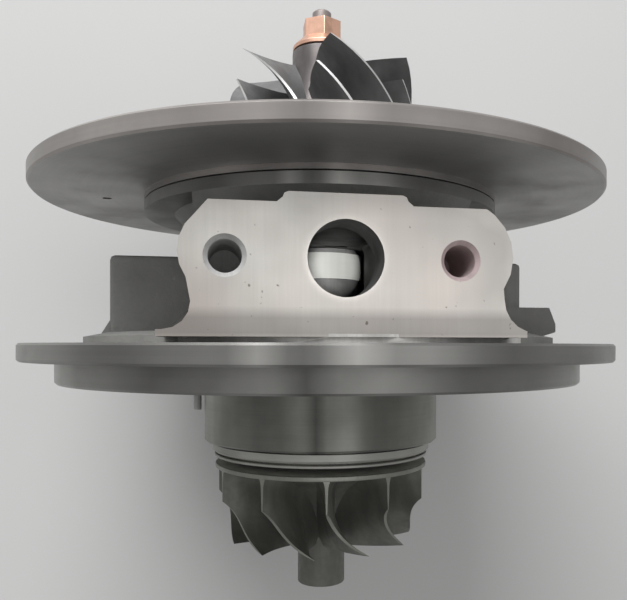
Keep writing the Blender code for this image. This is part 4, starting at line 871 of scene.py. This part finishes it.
def blade_mesh(blading, phase, start=0.0):
    """A closed blade: two curved sides (material 0) and the edges round them (material 1)."""
    bm = bmesh.new()
    sides = []
    for side in (-1, 1):
        rows = []
        for row in range(BLADE_ROWS + 1):
            share = row / BLADE_ROWS
            stations = [start + (1.0 - start) * step / BLADE_STEPS for step in range(BLADE_STEPS + 1)]
            rows.append([bm.verts.new(blading.point(t, share, side, phase)) for t in stations])
        sides.append(rows)
    for rows in sides:
        for low, high in zip(rows, rows[1:]):
            for i in range(BLADE_STEPS):
                bm.faces.new((low[i], low[i + 1], high[i + 1], high[i]))
    left, right = sides
    loops = [(left[0], right[0]), (left[-1], right[-1])]
    loops.append(([row[0] for row in left], [row[0] for row in right]))
    loops.append(([row[-1] for row in left], [row[-1] for row in right]))
    for one, other in loops:
        for i in range(len(one) - 1):
            strip = bm.faces.new((one[i], one[i + 1], other[i + 1], other[i]))
            strip.material_index = 1
    bmesh.ops.recalc_face_normals(bm, faces=bm.faces)
    return bm


def lathe(profile, sides, phase=0.0):
    """A surface turned about the shaft line from (radius, height) points, closed on the line."""
    bm = bmesh.new()
    rings = []
    for radius, height in profile:
        if radius < SAME:
            rings.append([bm.verts.new(polar(0.0, 0.0, height))] * sides)
        else:
            turns = [phase + math.tau * i / sides for i in range(sides)]
            rings.append([bm.verts.new(polar(radius, turn, height)) for turn in turns])
    for upper, lower in zip(rings, rings[1:]):
        for i in range(sides):
            after = (i + 1) % sides
            corners = []
            for corner in (upper[i], upper[after], lower[after], lower[i]):
                if corner not in corners:
                    corners.append(corner)
            if len(corners) > 2:
                bm.faces.new(corners)
    bmesh.ops.remove_doubles(bm, verts=bm.verts, dist=WELD)
    bmesh.ops.recalc_face_normals(bm, faces=bm.faces)
    return bm


def eased(profile, reach):
    """The profile with each inner corner cut by a small arc."""
    points = [Vector(profile[0])]
    for before, corner, after in zip(profile, profile[1:], profile[2:]):
        before, corner, after = Vector(before), Vector(corner), Vector(after)
        into, out = corner - before, after - corner
        turn = into.angle(out, 0.0) if into.length and out.length else 0.0
        size = min(reach, into.length * LONGEST_EASE, out.length * LONGEST_EASE)
        if turn < SHARP_ANGLE or corner.x < SAME:
            points.append(corner)
            continue
        start = corner - into.normalized() * size
        end = corner + out.normalized() * size
        for i in range(EASE_STEPS + 1):
            t = i / EASE_STEPS
            points.append(start.lerp(corner, t).lerp(corner.lerp(end, t), t))
    points.append(Vector(profile[-1]))
    return [(point.x, point.y) for point in points]


def compressor_wheel():
    hub = [compressor_hub(i / HUB_POINTS) for i in range(HUB_POINTS + 1)]
    profile = [
        (SHAFT_BORE, COMPRESSOR_BACK + COMPRESSOR_DISC),
        (SHAFT_BORE, COMPRESSOR_NOSE),
        (COMPRESSOR_HUB_RADIUS, COMPRESSOR_NOSE),
        *hub,
        (COMPRESSOR_RADIUS, COMPRESSOR_BACK),
        (SHAFT_BORE, COMPRESSOR_BACK),
        (SHAFT_BORE, COMPRESSOR_BACK + COMPRESSOR_DISC),
    ]
    bm = lathe(eased(profile, COMPRESSOR_EASE), WHEEL_SIDES)
    body = new_piece("compressor_hub", bm, ["compressor hub"], "rotor")
    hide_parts("compressor_wheel")
    blading = Blading(compressor_hub, compressor_tip, compressor_angle, COMPRESSOR_ROOT, COMPRESSOR_EDGE)
    for number in range(FULL_BLADES):
        phase = COMPRESSOR_PHASE + math.tau * number / FULL_BLADES
        for kind, turn, start in (("blade", 0.0, 0.0), ("splitter", math.pi / FULL_BLADES, SPLITTER_START)):
            bm = blade_mesh(blading, phase + turn, start)
            name = f"compressor_{kind}_{number + 1}"
            new_piece(name, bm, ["compressor", "compressor edge"], "rotor")


def turbine_wheel():
    hub = [turbine_hub(i / HUB_POINTS) for i in range(HUB_POINTS + 1)]
    outlet = hub[-1][1]
    profile = [
        (0.0, TURBINE_TOP),
        (SEAL_HUB_RADIUS, TURBINE_TOP),
        (SEAL_HUB_RADIUS, TURBINE_BACK),
        (TURBINE_RADIUS, TURBINE_BACK),
        (TURBINE_RADIUS, TURBINE_BACK - TURBINE_DISC),
        *hub[1:],
        (TURBINE_NOSE_RADIUS, outlet - TURBINE_DISC),
        (TURBINE_NOSE_RADIUS, TURBINE_END),
        (0.0, TURBINE_END),
    ]
    bm = lathe(eased(profile, TURBINE_EASE), WHEEL_SIDES)
    rim = TURBINE_RADIUS - 2 * BLADE_EDGE_INSET
    for face in bm.faces:
        if radius_of(face.calc_center_median()) > rim:
            face.material_index = 1
        # Faces on the wheel's back get the lighter copy of the alloy: painted light that lifts the shade in
        # the gap.
        elif face.normal.y > FLAT:
            face.material_index = 2
    body = new_piece("turbine_hub", bm, ["turbine", "turbine edge", "painted light turbine back"], "rotor")
    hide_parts("turbine_wheel")
    blading = Blading(turbine_hub, turbine_tip, turbine_angle, TURBINE_ROOT, TURBINE_EDGE)
    for number in range(TURBINE_BLADES):
        phase = TURBINE_PHASE + math.tau * number / TURBINE_BLADES
        bm = blade_mesh(blading, phase)
        name = f"turbine_blade_{number + 1}"
        new_piece(name, bm, ["turbine", "turbine edge"], "rotor")


def shield_lip():
    """The heat shield's rolled lip, in the gap before the turbine wheel."""
    top = TURBINE_BACK + SHIELD_GAP
    profile = [
        (LIP_INSIDE, top),
        (LIP_NECK, top),
        (LIP_NECK, top - LIP_DROP),
        (LIP_RADIUS, top - LIP_DROP),
        (LIP_RADIUS, top - LIP_DROP - LIP_THICKNESS),
        (LIP_INSIDE, top - LIP_DROP - LIP_THICKNESS),
    ]
    lip = new_piece("shield_lip", lathe(profile + profile[:1], WHEEL_SIDES), ["shield"], "housing")
    ease_edges(lip)


def other_pieces():
    """The remaining CAD nodes, each as a finer copy with its own finish."""
    plate = refined("back_plate", "plate", "housing")
    plate.data.materials.append(FINISHES["plate face"])
    # The plate's flat faces get its lighter copy: painted light that lifts their shade.
    for polygon in plate.data.polygons:
        if abs(polygon.normal.y) > FLAT:
            polygon.material_index = 1
    refined("heat_shield", "shield", "housing")
    refined("locating_pin", "hole", "housing", lines=())
    refined("compressor_nut", "copper", "rotor")
    refined("rotor_shaft", "tip", "rotor")
    refined("seal_sleeve", "steel", "rotor")
    refined("thrust_collar", "steel", "rotor")
    refined("thrust_bearing", "bronze", "housing", ease=0.0)
    refined("oil_baffle", "steel", "housing", ease=0.0)
    refined("journal_bearing_turbine", "bronze", "turbine_bush", ease=0.0)
    refined("journal_bearing_compressor", "bronze", "compressor_bush", ease=0.0)
    for name in ("back_plate_o_ring", "housing_o_ring"):
        refined(name, "rubber", "housing", ease=0.0)
    for name in ("turbine_piston_ring", "compressor_piston_ring"):
        refined(name, "steel", "housing", ease=0.0)
    for name in sorted(frame["nodes"]):
        if name.startswith("circlip") or "_screw_" in name:
            refined(name, "steel", "housing", ease=0.0, lines=())


# Stage.

def camera():
    """The camera, from its direction angles and the middle of its picture."""
    cos_pitch, sin_pitch = math.cos(CAMERA_PITCH), math.sin(CAMERA_PITCH)
    cos_yaw, sin_yaw = math.cos(CAMERA_YAW), math.sin(CAMERA_YAW)
    cos_roll, sin_roll = math.cos(CAMERA_ROLL), math.sin(CAMERA_ROLL)
    level = Vector((cos_yaw, -sin_yaw, 0.0))
    rise = Vector((-sin_yaw * sin_pitch, -cos_yaw * sin_pitch, cos_pitch))
    forward = Vector((sin_yaw * cos_pitch, cos_yaw * cos_pitch, sin_pitch))
    right = level * cos_roll - rise * sin_roll
    up = level * sin_roll + rise * cos_roll
    axes = Matrix((to_row(right), to_row(up), -to_row(forward))).transposed()
    data = bpy.data.cameras.new("camera")
    data.sensor_width = SENSOR_WIDTH
    data.lens = FOCAL_PIXELS * SENSOR_WIDTH / IMAGE_WIDTH
    data.shift_x = (IMAGE_WIDTH / 2 - CENTRE_X) / IMAGE_WIDTH
    data.shift_y = (CENTRE_Y - IMAGE_HEIGHT / 2) / IMAGE_WIDTH
    data.clip_start = CLIP_START
    obj = bpy.data.objects.new("camera", data)
    obj.matrix_world = Matrix.Translation(CAMERA_PLACE) @ axes.to_4x4()
    bpy.context.scene.collection.objects.link(obj)
    bpy.context.scene.camera = obj


def to_row(direction):
    """From the camera's frame (right, away, up along the shaft) to the row frame."""
    x, away, up = direction
    cos_turn, sin_turn = math.cos(PAD_TURN), math.sin(PAD_TURN)
    return Vector((x * cos_turn + away * sin_turn, up, x * sin_turn - away * cos_turn))


def area_light(name, where, size, power):
    data = bpy.data.lights.new(name, "AREA")
    data.shape = "SQUARE"
    data.size = size
    data.energy = power
    obj = bpy.data.objects.new(name, data)
    obj.location = where
    aim = Vector((0.0, 0.0, AXIS_HEIGHT)) - Vector(where)
    obj.rotation_euler = aim.to_track_quat("-Z", "Y").to_euler()
    bpy.context.scene.collection.objects.link(obj)


def tube_light():
    """A narrow beam that reaches the bearing tube through the drain hole."""
    target = place(TUBE_SEEN, -TUBE_LAND_RADIUS, TUBE_LAND_MIDDLE)
    through = Vector((PAD_OFFSET, PAD_HOLE_LEVEL, PAD_FACE)) - target
    data = bpy.data.lights.new("tube light", "SPOT")
    data.spot_size = TUBE_BEAM
    data.spot_blend = TUBE_BLEND
    data.shadow_soft_size = TUBE_LAMP_RADIUS
    data.energy = TUBE_POWER
    obj = bpy.data.objects.new("tube light", data)
    obj.location = target + through.normalized() * TUBE_LIGHT_DISTANCE
    obj.rotation_euler = (-through).to_track_quat("-Z", "Y").to_euler()
    bpy.context.scene.collection.objects.link(obj)


def world(strength, seen):
    """Even grey light, seen by the camera and in polished metal as a pale backdrop."""
    made = bpy.data.worlds.new("studio")
    made.use_nodes = True
    tree = made.node_tree
    tree.nodes.clear()
    output = tree.nodes.new("ShaderNodeOutputWorld")
    lit = tree.nodes.new("ShaderNodeBackground")
    lit.inputs["Strength"].default_value = strength
    lit.inputs["Color"].default_value = (1.0, 1.0, 1.0, 1.0)
    shown = tree.nodes.new("ShaderNodeBackground")
    shown.inputs["Color"].default_value = (seen, seen, seen, 1.0)
    rays = tree.nodes.new("ShaderNodeLightPath")
    either = tree.nodes.new("ShaderNodeMath")
    either.operation = "MAXIMUM"
    tree.links.new(rays.outputs["Is Camera Ray"], either.inputs[0])
    tree.links.new(rays.outputs["Is Glossy Ray"], either.inputs[1])
    mixed = tree.nodes.new("ShaderNodeMixShader")
    tree.links.new(either.outputs[0], mixed.inputs[0])
    tree.links.new(lit.outputs[0], mixed.inputs[1])
    tree.links.new(shown.outputs[0], mixed.inputs[2])
    tree.links.new(mixed.outputs[0], output.inputs[0])
    bpy.context.scene.world = made


def floor(tone):
    finish = Finish("pale floor", 0.85, 0.0, tone)
    bm = bmesh.new()
    bmesh.ops.create_grid(bm, x_segments=1, y_segments=1, size=FLOOR_REACH)
    mesh = bpy.data.meshes.new("floor")
    bm.to_mesh(mesh)
    bm.free()
    mesh.materials.append(finish.material)
    obj = bpy.data.objects.new("floor", mesh)
    bpy.context.scene.collection.objects.link(obj)


def studio():
    floor(FLOOR_TONE)
    world(WORLD_LIGHT, WORLD_SEEN)
    for lamp in LAMPS:
        area_light(*lamp)
    tube_light()
    bpy.context.scene.view_settings.view_transform = "Standard"


bearing_housing()
compressor_wheel()
turbine_wheel()
shield_lip()
other_pieces()
camera()
studio()
